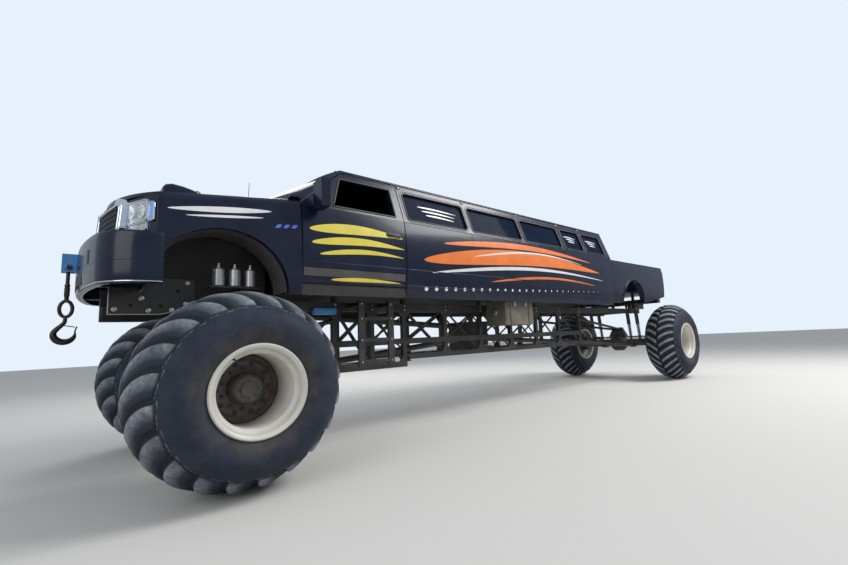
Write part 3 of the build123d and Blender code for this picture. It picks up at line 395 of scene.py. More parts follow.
def dust_group():
    """Dust: it lies thicker near the ground and on faces that look up, in soft patches."""
    tree, n, given, out = new_group(
        "dust",
        (
            ("Colour", shade((0.1, 0.1, 0.1))),
            ("Dust Colour", shade((0.42, 0.35, 0.27))),
            ("Amount", 0.5),
            ("Roughness", 0.4),
            ("Patch Scale", 3.0),
        ),
        (("Colour", True), ("Roughness", False), ("Mask", False)),
    )
    dusty_roughness = 0.9
    place = n.place()
    normal = n.add("ShaderNodeNewGeometry").outputs["Normal"]
    low = n.ramp(n.parts(place)["Z"], 2.2, 0.2, 0.12, 0.75)
    facing = n.ramp(n.parts(normal)["Z"], 0.1, 1.0, 0.0, 0.35)
    spread = n.ramp(n.noise(place, given["Patch Scale"], 6.0, 0.62), 0.36, 0.72)
    grain = n.ramp(n.noise(place, 55.0, 3.0, 0.7), 0.3, 0.7, 0.7, 1.15)
    lying = n.times(n.maths("ADD", low, facing), spread)
    mask = n.times(n.times(lying, grain), given["Amount"], clamp=True)
    rough = n.add("ShaderNodeMix", {0: mask, 2: given["Roughness"], 3: dusty_roughness}).outputs[0]
    n.tree.links.new(n.mix(mask, given["Colour"], given["Dust Colour"]), out["Colour"])
    n.tree.links.new(rough, out["Roughness"])
    n.tree.links.new(mask, out["Mask"])
    return tree


def wear_group():
    """Wear: paint rubbed thin where a rounded normal leaves the true one, broken up by noise."""
    tree, n, given, out = new_group(
        "edge_wear",
        (
            ("Colour", shade((0.1, 0.1, 0.1))),
            ("Worn Colour", shade((0.35, 0.34, 0.33))),
            ("Amount", 0.5),
            ("Radius", 0.006),
        ),
        (("Colour", True), ("Mask", False)),
    )
    true = n.add("ShaderNodeNewGeometry").outputs["Normal"]
    round_normal = n.add("ShaderNodeBevel", {"Radius": given["Radius"]}, samples=4).outputs[0]
    both = {0: true, 1: round_normal}
    match = n.add("ShaderNodeVectorMath", both, operation="DOT_PRODUCT").outputs["Value"]
    edge = n.ramp(match, 0.995, 0.9)
    broken = n.ramp(n.noise(n.place(), 24.0, 5.0, 0.7), 0.42, 0.6)
    mask = n.times(n.times(edge, broken), given["Amount"], clamp=True)
    n.tree.links.new(n.mix(mask, given["Colour"], given["Worn Colour"]), out["Colour"])
    n.tree.links.new(mask, out["Mask"])
    return tree


def grain_group():
    """Grain: a height from two sizes of noise, for a Bump node."""
    inputs = (("Fine Scale", 120.0), ("Broad Scale", 9.0), ("Broad", 0.5))
    tree, n, given, out = new_group("grain", inputs, (("Height", False),))
    place = n.place()
    fine = n.noise(place, given["Fine Scale"], 3.0, 0.6)
    broad = n.noise(place, given["Broad Scale"], 4.0, 0.5)
    n.tree.links.new(n.maths("ADD", fine, n.times(broad, given["Broad"])), out["Height"])
    return tree


GROUPS = {"dust": dust_group(), "wear": wear_group(), "grain": grain_group()}


def new_material(name):
    """An empty material and the calls that fill it."""
    material = bpy.data.materials.new(name)
    material.use_nodes = True
    material.node_tree.nodes.clear()
    return material, Nodes(material.node_tree)


def mottled(n, place, colour, mottle, scale):
    """A colour that drifts darker and lighter in soft clouds."""
    share = n.ramp(n.noise(place, scale, 5.0, 0.6), 0.3, 0.7)
    dark = shade([c * (1 - mottle) for c in colour])
    light = shade([min(1.0, c * (1 + mottle) + 0.004) for c in colour])
    return n.mix(share, dark, light)


def dressed(n, base, roughness, dust, wear, worn, grain, patch, dust_colour, metallic=0.0, coat=0.0,
            fine=120.0, specular=0.5):
    """Wear, dust and grain laid over a base colour, ending in the surface output."""
    group = "ShaderNodeGroup"
    worn_over = n.add(group, node_tree=GROUPS["wear"])
    dusty = n.add(group, node_tree=GROUPS["dust"])
    grained = n.add(group, node_tree=GROUPS["grain"])
    n.tree.links.new(base, worn_over.inputs["Colour"])
    n.tree.links.new(worn_over.outputs["Colour"], dusty.inputs["Colour"])
    for node, label, value in (
        (worn_over, "Worn Colour", shade(worn)),
        (worn_over, "Amount", wear),
        (dusty, "Dust Colour", shade(dust_colour)),
        (dusty, "Amount", dust),
        (dusty, "Roughness", roughness),
        (dusty, "Patch Scale", patch),
        (grained, "Fine Scale", fine),
    ):
        node.inputs[label].default_value = value
    n.surface(
        {
            "Base Color": dusty.outputs["Colour"],
            "Roughness": dusty.outputs["Roughness"],
            "Metallic": metallic,
            "Coat Weight": coat,
            "Coat Roughness": 0.06,
            "Specular IOR Level": specular,
            "Normal": n.bump(grain, 0.004, grained.outputs["Height"]),
        }
    )


def finish(name, colour, roughness, dust, wear=0.3, worn=(0.3, 0.29, 0.28), grain=0.1, mottle=0.15, patch=3.0,
           dust_colour=(0.30, 0.25, 0.19), **surface):
    """A painted, cast or moulded finish: mottled colour, worn edges, dust and a fine grain."""
    material, n = new_material(name)
    base = mottled(n, n.place(), colour, mottle, patch * 1.7)
    dressed(n, base, roughness, dust, wear, worn, grain, patch, dust_colour, **surface)
    return material


DISH_INSET = 0.044  # the dish's radius under the rim's


def rim_finish(axle):
    """Cream paint on the rim, with painted shade deeper in its dish; the disc deep inside and its hub are
    dark brown grey, rusty at the middle.
    """
    material, n = new_material(f"{axle.name}_rim_paint")
    place = n.place()
    parts = n.parts(place)
    dy = n.maths("SUBTRACT", parts["Y"], axle.y)
    dz = n.maths("SUBTRACT", parts["Z"], axle.radius)
    radius = n.maths("SQRT", n.maths("ADD", n.times(dy, dy), n.times(dz, dz)))
    disc_radius = axle.rim_radius - DISH_INSET - 0.0005
    inside = n.ramp(radius, disc_radius, disc_radius - 0.006)
    # Painted shade: the rim's inside is mixed up to 0.35 towards dark brown grey nearer the middle plane.
    deep = n.ramp(n.maths("ABSOLUTE", parts["X"]), axle.dark_x + 0.04, axle.dark_x + 0.16, 0.35, 0.0)
    cream = mottled(n, place, (0.56, 0.54, 0.49), 0.10, 5.0)
    shadowed = n.mix(deep, cream, shade((0.20, 0.18, 0.16)))
    rust = n.ramp(n.noise(place, 14.0, 5.0, 0.65), 0.45, 0.62)
    disc = n.mix(rust, shade((0.045, 0.044, 0.043)), shade((0.095, 0.055, 0.036)))
    base = n.mix(inside, shadowed, disc)
    dressed(n, base, 0.38, 0.35, 0.35, (0.30, 0.25, 0.20), 0.12, 3.5, (0.36, 0.30, 0.23), coat=0.15)
    return material


def tyre_finish():
    """Rubber with a painted blue cast of sky light: pale dust, wear and a painted highlight on the crests and
    the shoulder rib, painted shade in the grooves, a brown ring by the rim, fine cracks.
    """
    material, n = new_material("dusty_rubber")
    place = n.place()
    crest = n.attribute("crest")
    clouds = n.noise(place, 5.0, 6.0, 0.65)
    scuffs = n.noise(place, 38.0, 4.0, 0.7)
    # The rubber's blue cast is painted sky light, not the rubber's own colour.
    rubber = mottled(n, place, (0.015, 0.022, 0.038), 0.26, 7.0)
    # Painted shade: the grooves, where crest is below 0, are darkened towards near black.
    rubber = n.mix(n.ramp(crest, 0.0, -0.8, 0.0, 0.80), rubber, shade((0.010, 0.011, 0.014)))
    # Pale dust and wear on the lug tops and the shoulder rib, with a painted highlight there too.
    worn_and_highlit_top = n.times(n.ramp(crest, 0.2, 1.0), n.ramp(clouds, 0.30, 0.62, 0.22, 0.95))
    worn_and_highlit_top = n.times(worn_and_highlit_top, n.ramp(scuffs, 0.30, 0.62, 0.40, 1.0))
    topped = n.mix(worn_and_highlit_top, rubber, shade((0.360, 0.380, 0.415)))
    ring = n.times(n.ramp(n.attribute("flank"), 0.80, 0.93), n.ramp(clouds, 0.35, 0.6, 0.10, 0.55))
    ringed = n.mix(ring, topped, shade((0.085, 0.066, 0.050)))
    film = n.times(n.ramp(clouds, 0.42, 0.70, 0.0, 0.26), n.ramp(scuffs, 0.35, 0.65, 0.4, 1.0))
    cracked = n.ramp(n.cells(place, 60.0), 0.0, 0.05)
    height = n.maths("ADD", n.times(cracked, 0.35), n.maths("ADD", scuffs, n.noise(place, 160.0, 3.0, 0.6)))
    n.surface(
        {
            "Base Color": n.mix(film, ringed, shade((0.085, 0.088, 0.095))),
            "Roughness": n.ramp(clouds, 0.3, 0.7, 0.55, 0.82),
            "Specular IOR Level": 0.22,
            "Normal": n.bump(0.45, 0.004, height),
        }
    )
    return material


def glass_finish():
    """Nearly black tinted glass with a light film of dust."""
    material, n = new_material("tinted_glass")
    film = n.ramp(n.noise(n.place(), 6.0, 5.0, 0.6), 0.40, 0.80, 0.03, 0.10)
    tint = n.mix(film, shade((0.006, 0.012, 0.030)), shade((0.10, 0.11, 0.12)))
    settings = {"Alpha": 0.97, "IOR": 1.45, "Specular IOR Level": 0.008}
    n.surface({"Base Color": tint, "Roughness": film, **settings})
    return material


def lens_finish():
    """Clear ribbed lens over a pale reflector: upright flutes in the colour and the bump."""
    material, n = new_material("ribbed_lens")
    place = n.place()
    flutes = n.ramp(n.maths("SINE", n.times(n.parts(place)["X"], 420.0)), -1.0, 1.0)
    clouds = n.noise(place, 16.0, 4.0, 0.6)
    tone = n.mix(n.ramp(clouds, 0.35, 0.65), shade((0.36, 0.36, 0.33)), shade((0.62, 0.64, 0.66)))
    n.surface(
        {
            "Base Color": n.mix(n.times(flutes, 0.25), tone, shade((0.24, 0.25, 0.26))),
            "Roughness": n.ramp(clouds, 0.3, 0.7, 0.10, 0.24),
            "Metallic": 0.35,
            "Coat Weight": 0.9,
            "Normal": n.bump(0.25, 0.002, flutes),
        }
    )
    return material


def leather_finish():
    """Seat leather: small creased cells, paler and darker in soft clouds."""
    material, n = new_material("seat_leather")
    place = n.place()
    clouds = n.noise(place, 6.0, 5.0, 0.6)
    creases = n.ramp(n.cells(place, 260.0), 0.0, 0.12)
    height = n.maths("ADD", creases, n.noise(place, 40.0, 4.0, 0.6))
    n.surface(
        {
            "Base Color": n.mix(
                n.ramp(clouds, 0.35, 0.7), shade((0.050, 0.046, 0.042)), shade((0.085, 0.078, 0.070))
            ),
            "Roughness": n.ramp(clouds, 0.3, 0.7, 0.42, 0.60),
            "Normal": n.bump(0.35, 0.002, height),
        }
    )
    return material


NAVY = (0.0022, 0.0057, 0.022)
FILM = dict(roughness=0.30, coat=0.3, wear=0.0, grain=0.03)
LENS = dict(wear=0.0, dust=0.2)

# Slot or added look: the material's name, its colour and what sets it apart.
PAINTS = {
    "body_paint": ("navy_paint", NAVY, dict(
        roughness=0.20, coat=0.10, dust=0.07, wear=0.08, grain=0.015, worn=(0.12, 0.12, 0.14),
        specular=0.28)),
    "chassis_paint": ("black_frame_paint", (0.008, 0.008, 0.009), dict(
        roughness=0.42, dust=0.28, wear=0.35, worn=(0.12, 0.11, 0.10))),
    "axle_paint": ("axle_paint", (0.011, 0.011, 0.012), dict(
        roughness=0.5, dust=0.45, wear=0.4, grain=0.25, worn=(0.12, 0.10, 0.09))),
    "steel": ("dull_steel", (0.45, 0.45, 0.46), dict(roughness=0.35, metallic=0.9, dust=0.35, wear=0.2)),
    "cast_metal": ("cast_metal", (0.035, 0.034, 0.033), dict(
        roughness=0.6, dust=0.45, grain=0.5, fine=220.0, worn=(0.14, 0.12, 0.10))),
    "shock_metal": ("shock_paint", (0.020, 0.020, 0.022), dict(
        roughness=0.35, dust=0.3, wear=0.4, worn=(0.2, 0.19, 0.18))),
    "tank_paint": ("khaki_tank_paint", (0.105, 0.095, 0.070), dict(
        roughness=0.55, dust=0.45, mottle=0.25, patch=5.0)),
    "floor_paint": ("underbody_paint", (0.006, 0.006, 0.0065), dict(roughness=0.7, dust=0.25, grain=0.3)),
    "grille_plastic": ("nose_panel_paint", NAVY, dict(
        roughness=0.20, coat=0.1, dust=0.1, wear=0.1, grain=0.02, specular=0.28)),
    "interior_plastic": ("interior_plastic", (0.02, 0.02, 0.022), dict(
        roughness=0.6, dust=0.15, grain=0.3, fine=400.0)),
    "bracket_paint": ("blue_bracket_paint", (0.045, 0.22, 0.52), dict(
        roughness=0.35, dust=0.3, wear=0.7, worn=(0.35, 0.34, 0.33))),
    "hook_steel": ("hook_steel", (0.022, 0.020, 0.020), dict(
        roughness=0.35, metallic=0.7, dust=0.25, wear=0.8, worn=(0.45, 0.42, 0.40))),
    # The trim's blue tint is a painted reflection of the sky on chrome.
    "bright": ("bright_trim", (0.62, 0.70, 0.80), dict(
        roughness=0.10, metallic=1.0, dust=0.25, wear=0.1, grain=0.03, worn=(0.4, 0.4, 0.4))),
    "rubber": ("black_rubber", (0.006, 0.006, 0.0065), dict(
        roughness=0.5, dust=0.25, wear=0.0, grain=0.15, fine=300.0)),
    "dark_mesh": ("grille_mesh", (0.008, 0.010, 0.014), dict(
        roughness=0.35, metallic=0.4, dust=0.4, wear=0.2)),
    "orange": ("orange_film", (0.72, 0.16, 0.012), dict(FILM, dust=0.20, mottle=0.10)),
    "white": ("white_film", (0.66, 0.66, 0.67), dict(FILM, dust=0.25, mottle=0.06)),
    "yellow": ("yellow_film", (0.66, 0.54, 0.05), dict(FILM, dust=0.20, mottle=0.10)),
    "blue": ("blue_film", (0.07, 0.16, 0.62), dict(FILM, dust=0.15)),
    "grey_film": ("grey_film", (0.045, 0.040, 0.042), dict(
        roughness=0.45, dust=0.45, wear=0.0, mottle=0.2, grain=0.05)),
    "liner": ("arch_liner", (0.040, 0.034, 0.034), dict(
        roughness=0.8, dust=0.9, wear=0.0, grain=0.4, dust_colour=(0.16, 0.13, 0.12))),
    "amber": ("amber_lens", (0.55, 0.20, 0.03), dict(LENS, roughness=0.15, coat=0.8)),
    "red": ("red_lens", (0.30, 0.012, 0.012), dict(LENS, roughness=0.15, coat=0.8, dust=0.3)),
    "clear": ("clear_lens", (0.68, 0.72, 0.78), dict(LENS, roughness=0.12, coat=0.9)),
    "corner": ("corner_lens", (0.20, 0.34, 0.68), dict(LENS, roughness=0.10, coat=0.9, dust=0.15)),
}
FINISHES = {key: finish(name, colour, **settings) for key, (name, colour, settings) in PAINTS.items()}
FINISHES |= {f"{axle.name}_rim": rim_finish(axle) for axle in AXLES}
FINISHES |= {"tyre": tyre_finish(), "glass": glass_finish(), "lamp_lens": lens_finish()}
FINISHES |= {"seat_leather": leather_finish()}


def dress_nodes():
    """Gives every carried-over node the finish of its slot; the rims have one for each axle."""
    for row in frame["record"]["subparts"]:
        slot = row["material_slot"]
        if slot == "rim_paint":
            slot = row["node"].split("_")[0] + "_rim"
        materials = frame["nodes"][row["node"]].data.materials
        materials.clear()
        materials.append(FINISHES[slot])


# Tyres

SHOULDER_DROP = 0.140
RIM_LIP = 0.025
RIM_INSET = 0.034
RIM_WALL = 0.014
SEAT_GAP = 0.001
TYRE_COLUMNS = 480
CROWN_ROWS = 46
FLANK_ROWS = 22
LUG_DEPTH = 0.028
FLANK_SINK = 0.007
RIB_WIDTH, RIB_HEIGHT = 0.0055, 0.0065


def tyre_section(axle):
    """Half of the tyre's outline, from the crown to the bead: the tread's arc, then the flank's arc."""
    edge = axle.radius - SHOULDER_DROP
    shoulder = (0.8 * axle.half_width, edge)
    lip = axle.rim_radius + RIM_LIP + 4 * SEAT_GAP
    bulge = 0.55 * lip + 0.45 * edge
    bead = axle.half_width - RIM_INSET - RIM_WALL - SEAT_GAP
    tread = arc_through((-shoulder[0], edge), (0.0, axle.radius), shoulder, 2 * CROWN_ROWS + 1)[CROWN_ROWS:]
    flank = arc_through(shoulder, (axle.half_width, bulge), (bead, lip), FLANK_ROWS + 1)[1:]
    return np.concatenate([tread, flank])


def lug_height(axle, run, turn, end, offset):
    """Height of the lugs, 0 to 1: they leave the crown swept forward and straighten towards the shoulder.

    run is the distance from the crown, turn the angle about the axle, end where the lugs stop. Across each
    lug the height rises softly and drops at its upper edge; its outer tip is rounded. The front ones are worn
    to a slope."""
    worn = axle.name == "front"
    soft, sharp = 0.10, 0.07
    foot, head = 0.5 - axle.crest / 2, 0.5 + axle.crest / 2
    swept = axle.sweep * (1 - (1 - np.clip(run / end, 0, 1)) ** 1.7)
    phase = (axle.lugs * (turn - swept) / tau + offset) % 1.0
    slope = 0.55 + 0.45 * smoothstep(foot, foot + axle.crest * 0.9, phase) if worn else 1.0
    rise = smoothstep(foot - soft, foot + 0.04, phase) * slope
    fall = 1 - smoothstep(head - sharp, head, phase)
    reach = end + 0.012 - 0.050 * np.clip((0.62 - phase) / axle.crest, 0, 1) ** 1.5
    tip = 1 - smoothstep(reach - 0.020, reach, run)
    root = smoothstep(0.004, 0.030, run) if worn else smoothstep(0.010, 0.020, run)
    return rise * fall * tip * root


def tyre_half(axle, flip, offset):
    """One half from crown to bead: (distance out, radius, crest, share of the way) on a grid (row, angle).

    The outline is sunk between the lugs by LUG_DEPTH, and on the flank by FLANK_SINK and a ripple; a
    scalloped rib stands where the two meet. At the bead nothing is sunk."""
    outline = tyre_section(axle)
    tangent = np.gradient(outline, axis=0)
    tangent /= np.linalg.norm(tangent, axis=1)[:, None]
    normal = np.stack([-tangent[:, 1], tangent[:, 0]], -1)
    steps = np.linalg.norm(np.diff(outline, axis=0), axis=1)
    run = np.concatenate([[0], np.cumsum(steps)])
    end = run[CROWN_ROWS] - 0.008
    r, t = np.meshgrid(run, np.arange(TYRE_COLUMNS) * tau / TYRE_COLUMNS, indexing="ij")
    high = lug_height(axle, r, t, end, offset)
    fade = 1 - smoothstep(end - 0.030, end + 0.030, r)
    cycle = (axle.lugs * (t - axle.sweep) / tau + offset) % 1.0
    line = end + 0.020 - 0.034 * np.clip(1 - cycle, 0, 1) ** 2
    rib = np.exp(-(((r - line) / RIB_WIDTH) ** 2))
    ripple = 0.0012 * np.sin(9 * t + 22 * r) * smoothstep(end, end + 0.1, r)
    sunk = LUG_DEPTH * fade * (1 - high) + (1 - fade) * (FLANK_SINK - ripple)
    sunk = sunk - RIB_HEIGHT * rib * (1 - fade * high)
    sunk = np.maximum(sunk, 0.0) * (1 - smoothstep(run[-1] - 0.02, run[-1], r))
    spot = outline[:, None, :] - normal[:, None, :] * sunk[..., None]
    # crest is high on the lug tops and the rib and low in the grooves; the tyre's material paints highlight
    # and shade from it.
    crest = np.clip(fade * high + rib, 0, 1) - fade * (1 - high) * (1 - rib)
    return np.stack([spot[..., 0] * flip, spot[..., 1], crest, r / run[-1]])


def lay_tyres():
    """Each tyre is its section turned about the axle; its two halves' lugs stand half a pitch apart."""
    turn = np.arange(TYRE_COLUMNS) * tau / TYRE_COLUMNS
    for axle in AXLES:
        near, far = tyre_half(axle, 1, 0.0), tyre_half(axle, -1, 0.5)
        whole = np.concatenate([far[:, :0:-1], near], axis=1)
        whole[:2, near.shape[1] - 1] = (near[:2, 0] + far[:2, 0]) / 2
        # Two rings inside the beads close the section round the rim.
        ends = [(lateral, axle.rim_radius + SEAT_GAP, 0.0, 1.0) for lateral in whole[0, (-1, 0), 0]]
        closing = np.broadcast_to(np.array(ends).T[:, :, None], (4, 2, TYRE_COLUMNS))
        lateral, radial, crest, flank = np.concatenate([whole, closing], axis=1)
        for side_name, side in SIDES:
            points = spots(
                side * (axle.wheel_x + lateral), axle.y - radial * np.cos(turn),
                axle.radius + radial * np.sin(turn),
            ).reshape(-1, 3)
            corner = f"{axle.name}_{side_name}"
            make_piece(
                f"{corner}_treaded_tyre",
                "tyre",
                (points, outward(points, [grid_faces(len(lateral), TYRE_COLUMNS, True, True)])),
                body=f"{corner}_wheel",
                attributes=(("crest", crest), ("flank", flank)),
                replaces=(f"{corner}_tyre",),
            )


# Wheels

DISH_DEPTH = 0.330
DISC_SET_BACK = 0.100
DISC_FACE = 0.018
NUTS, NUT_CIRCLE = 10, 0.148
HOLE_CIRCLE = 0.182
HUB_BOLTS, HUB_CIRCLE = 8, 0.067
VALVE_ANGLE = 2.2

# The barrel's section, as steps from a flange's edge and from the rim's radius: the outer bead seat, the
# inner one with its flange, then the dish seen from outside, back to the outer flange.
OUTER_SEAT = ((-0.014, 0.024), (-0.014, 0.0), (-0.066, 0.0), (-0.084, -0.030))
INNER_SEAT = (
    (0.148, -0.030), (0.130, 0.0), (0.014, 0.0), (0.014, 0.024), (0.002, 0.024), (0.001, -0.014),
    (0.130, -0.014), (0.148, -DISH_INSET),
)
DISH = (
    (-0.088, -DISH_INSET), (-0.082, -0.040), (-0.070, -0.018), (-0.062, -0.014), (-0.026, -0.014),
    (-0.012, -0.008), (-0.003, 0.004), (0.0, 0.016), (-0.003, 0.022), (-0.008, 0.025),
)
# The pressed disc and hub: (distance out, radius), inside and outside its ring at the dish.
DISC_BACK = ((-0.050, 0.118), (-0.001, 0.119))
DISC_RING = ((0.0, 0.0), (0.016, 0.0), (0.034, -0.012), (0.038, -0.030))
DISC_HUB = (
    (0.024, 0.208), (0.018, 0.202), (0.018, 0.128), (0.026, 0.118), (0.150, 0.104), (0.166, 0.092),
    (0.172, 0.074), (0.172, 0.060), (0.184, 0.058), (0.188, 0.050), (0.188, 0.010),
)
WASHER = ((0, 0.016), (0.004, 0.016), (0.004, 0.015))
# A dark disc of painted shade, laid on the wheel's disc where each hole is.
HOLE_SHADE = ((-0.002, 0.019), (0.0015, 0.019), (0.002, 0.017), (0.0016, 0.001))
VALVE_STEM = (
    (-0.012, 0.009), (0.0, 0.009), (0.006, 0.006), (0.034, 0.0055), (0.036, 0.007), (0.052, 0.007),
    (0.054, 0.005),
)


def turned_loop(place, side, loop, sides=72):
    """A closed section of (distance out, radius) points turned about the wheel's axle."""
    turn = np.arange(sides) * tau / sides
    out, radius = np.array(loop).T[:, :, None]
    points = spots(place[0] + side * out, place[1] + radius * np.cos(turn), place[2] + radius * np.sin(turn))
    points = points.reshape(-1, 3)
    return points, outward(points, [grid_faces(len(loop), sides, True, True)])


def fit_wheels():
    """Each rim in full: flanges, bead seats, drop centre, pressed disc and hub; its nuts, its valve, and dark
    discs of painted shade where its holes are.
    """
    for axle in AXLES:
        half = axle.half_width - RIM_INSET
        disc_x = half - DISH_DEPTH - DISC_SET_BACK
        barrel = [(half + out, axle.rim_radius + step) for out, step in OUTER_SEAT]
        barrel += [(out - half, axle.rim_radius + step) for out, step in INNER_SEAT]
        barrel += [(half + out, axle.rim_radius + step) for out, step in DISH]
        dish = axle.rim_radius - DISH_INSET
        disc = (*DISC_BACK, *((out, dish + step) for out, step in DISC_RING), *DISC_HUB)

        for side_name, side in SIDES:
            wheel = f"{axle.name}_{side_name}"
            out = (side, 0, 0)

            def spot(offset, radius, turn):
                x = side * (axle.wheel_x + offset)
                return (x, axle.y + radius * cos(turn), axle.radius + radius * sin(turn))

            make_piece(
                f"{wheel}_dished_rim",
                "rim_paint",
                turned_loop(spot(0, 0, 0), side, barrel),
                turned(spot(disc_x, 0, 0), out, disc, 64),
                body=f"{wheel}_wheel",
                look=f"{axle.name}_rim",
                replaces=(f"{wheel}_rim",),
            )
            nuts, hole_shades = [], []
            face = disc_x + DISC_FACE - 0.001
            for k in range(NUTS):
                place = spot(face, NUT_CIRCLE, (k + 0.5) * tau / NUTS)
                nuts += [turned(place, out, WASHER, 12), bolt(place, out, 0.0115, 0.020)]
                # Painted shade stands for the holes in the disc.
                hole_shades.append(turned(spot(face, HOLE_CIRCLE, k * tau / NUTS), out, HOLE_SHADE, 20))
            for k in range(HUB_BOLTS):
                nuts.append(bolt(spot(disc_x + 0.171, HUB_CIRCLE, k * tau / HUB_BOLTS), out, 0.006, 0.008))
            valve = spot(half - 0.055, axle.rim_radius - 0.022, VALVE_ANGLE)
            lean = (side * 0.9, -0.3 * cos(VALVE_ANGLE), -0.3 * sin(VALVE_ANGLE))
            stem = turned(valve, lean, VALVE_STEM, 10)
            make_piece(f"{wheel}_wheel_nuts", "steel", *nuts, body=f"{wheel}_wheel", look="cast_metal")
            make_piece(f"{wheel}_disc_holes", "rim_paint", *hole_shades, body=f"{wheel}_wheel", look="rubber")
            make_piece(f"{wheel}_valve", "tyre", stem, body=f"{wheel}_wheel", look="rubber")


# Side design: flowing bands that follow the wall

DECAL_PROUD = 0.0018
STRIP_PROUD = 0.0012
PANE_PROUD = -0.0235
BAND_ROWS = 7

# (first station, last station, height, its rise, half width, how far the middle bows up)
ORANGE_BANDS = (
    (1.98, 5.85, 1.93, 0.10, 0.105, 0.13),
    (2.30, 5.60, 2.16, 0.03, 0.040, 0.10),
    (3.10, 5.75, 1.735, 0.06, 0.016, 0.09),
)
WHITE_BANDS = ((2.10, 5.95, 1.79, 0.11, 0.022, 0.12), (2.80, 5.30, 2.045, 0.09, 0.012, 0.115))
DOOR_BANDS = (
    (0.64, 1.70, 2.115, 0.02, 0.050, 0.035),
    (0.66, 1.71, 1.985, 0.03, 0.038, 0.040),
    (0.74, 1.70, 1.878, 0.04, 0.024, 0.040),
    (0.86, 1.66, 1.640, 0.00, 0.018, 0.012),
)
# (first station, last station, heights)
WINDOW_BANDS = (
    (2.02, 2.62, (2.60, 2.55, 2.50)),
    (5.06, 5.40, (2.62, 2.58, 2.54)),
    (5.72, 6.06, (2.62, 2.58, 2.54)),
)
DOTS, DOT_RADIUS, DOT_PITCH, DOT_SIDES = 26, 0.026, 0.150, 20
RUB_STRIP = (0.590, 1.722, 1.668, 1.742)


def wall_band(side, station, bottom, top, proud=DECAL_PROUD):
    """A thin grid on the cab wall between two heights given at each station."""
    level = bottom + (top - bottom) * np.linspace(0, 1, BAND_ROWS)[:, None]
    return on_wall(side, station, level, proud), [grid_faces(BAND_ROWS, len(station))]


def wave_band(side, first, last, base, rise, swell, bow, count=120, proud=DECAL_PROUD):
    """A band that thins to its ends: its middle is base + rise u + bow sin(pi u), its half width
    swell sin(pi u^0.7)^0.8."""
    station = np.linspace(first, last, count)
    u = (station - first) / (last - first)
    middle = base + rise * u + bow * np.sin(pi * u)
    half = swell * np.sin(pi * np.clip(u, 0, 1) ** 0.7) ** 0.8 + 0.0015
    return wall_band(side, station, middle - half, middle + half, proud)


def wall_dot(side, k):
    """A round spot on the wall, one of a row that grows smaller towards the back."""
    edge = circle(DOT_RADIUS * (1 - k / 34), DOT_SIDES) + np.array([2.02 + DOT_PITCH * k, 1.600 + 0.004 * k])
    spot = np.concatenate([edge, edge.mean(0)[None]])
    ring = np.arange(DOT_SIDES)
    fan = np.stack([np.full(DOT_SIDES, DOT_SIDES), ring, (ring + 1) % DOT_SIDES], -1)
    return on_wall(side, spot[:, 0], spot[:, 1], DECAL_PROUD), [fan if side > 0 else fan[:, ::-1]]


def flowing_design():
    """Orange and white bands and a row of dots along the cab, yellow bands and a grey strip on the door."""
    for side_name, side in SIDES:
        out = (side, 0, 0)
        door = f"front_door_{side_name}"
        orange = [wave_band(side, *row) for row in ORANGE_BANDS]
        white = [wave_band(side, *row) for row in WHITE_BANDS] + [wall_dot(side, k) for k in range(DOTS)]
        yellow = [wave_band(side, *row, 60) for row in DOOR_BANDS]
        first, last, foot, head = RUB_STRIP
        station = np.linspace(first, last, 40)
        strip = wall_band(side, station, foot + 0 * station, head + 0 * station, STRIP_PROUD)
        marks = []
        for first, last, levels in WINDOW_BANDS:
            for k, level in enumerate(levels):
                ends = (first + 0.05 * k, last - 0.03 * k)
                marks.append(wave_band(side, *ends, level, -0.012, 0.009, 0.008, 40, PANE_PROUD))
        make_piece(f"side_bands_orange_{side_name}", "body_paint", *orange, look="orange", towards=out)
        make_piece(f"side_bands_white_{side_name}", "body_paint", *white, look="white", towards=out)
        make_piece(f"door_bands_{side_name}", "body_paint", *yellow, body=door, look="yellow", towards=out)
        strip_name = f"door_rub_strip_{side_name}"
        make_piece(strip_name, "body_paint", strip, body=door, look="grey_film", towards=out)
        make_piece(f"window_bands_{side_name}", "glass", *marks, look="white", towards=out)


FENDER_NOSE, FENDER_LENGTH = -0.520, 1.092
FENDER_SECTIONS = ((0.945, 2.275), (0.994, 2.4070))  # half width and top, at the nose and at the door
FENDER_PROUD = 0.0022
FENDER_ROWS = 5
# (first station, last station, middle, half width), the last two as shares of the fender's main arc
FENDER_BANDS = ((-0.46, 0.31, 0.925, 0.034), (-0.34, 0.24, 0.845, 0.014))


def fender_point(side, share, back):
    """A point on the fender's outer skin: share 0 to 1 up its main arc, back 0 to 1 from nose to door."""
    sections = []
    for wide, top in FENDER_SECTIONS:
        a, b, c = (wide - 0.015, 1.490), (wide, 1.900), (wide - 0.040, top - 0.090)
        centre, radius = three_point_circle(a, b, c)
        start, end = (np.arctan2(p[1] - centre[1], p[0] - centre[0]) for p in (a, c))
        angle = start + (end - start) * share
        reach = radius + FENDER_PROUD
        sections.append((centre[0] + reach * np.cos(angle), centre[1] + reach * np.sin(angle)))
    (nose_x, nose_z), (door_x, door_z) = sections
    x = nose_x * (1 - back) + door_x * back
    z = nose_z * (1 - back) + door_z * back
    return spots(side * x, along(FENDER_NOSE + FENDER_LENGTH * back), z)


def fender_band(side, first, last, middle, half, count, slant=0.0):
    """A thin band on the fender: half gives its half width at each share of the fender's length."""
    back = (np.linspace(first, last, count)[None, :] - FENDER_NOSE) / FENDER_LENGTH
    bottom, top = middle - half(back), middle + half(back)
    share = bottom + (top - bottom) * np.linspace(0, 1, FENDER_ROWS)[:, None]
    return fender_point(side, share, back + slant * (share - bottom.mean())), [grid_faces(FENDER_ROWS, count)]


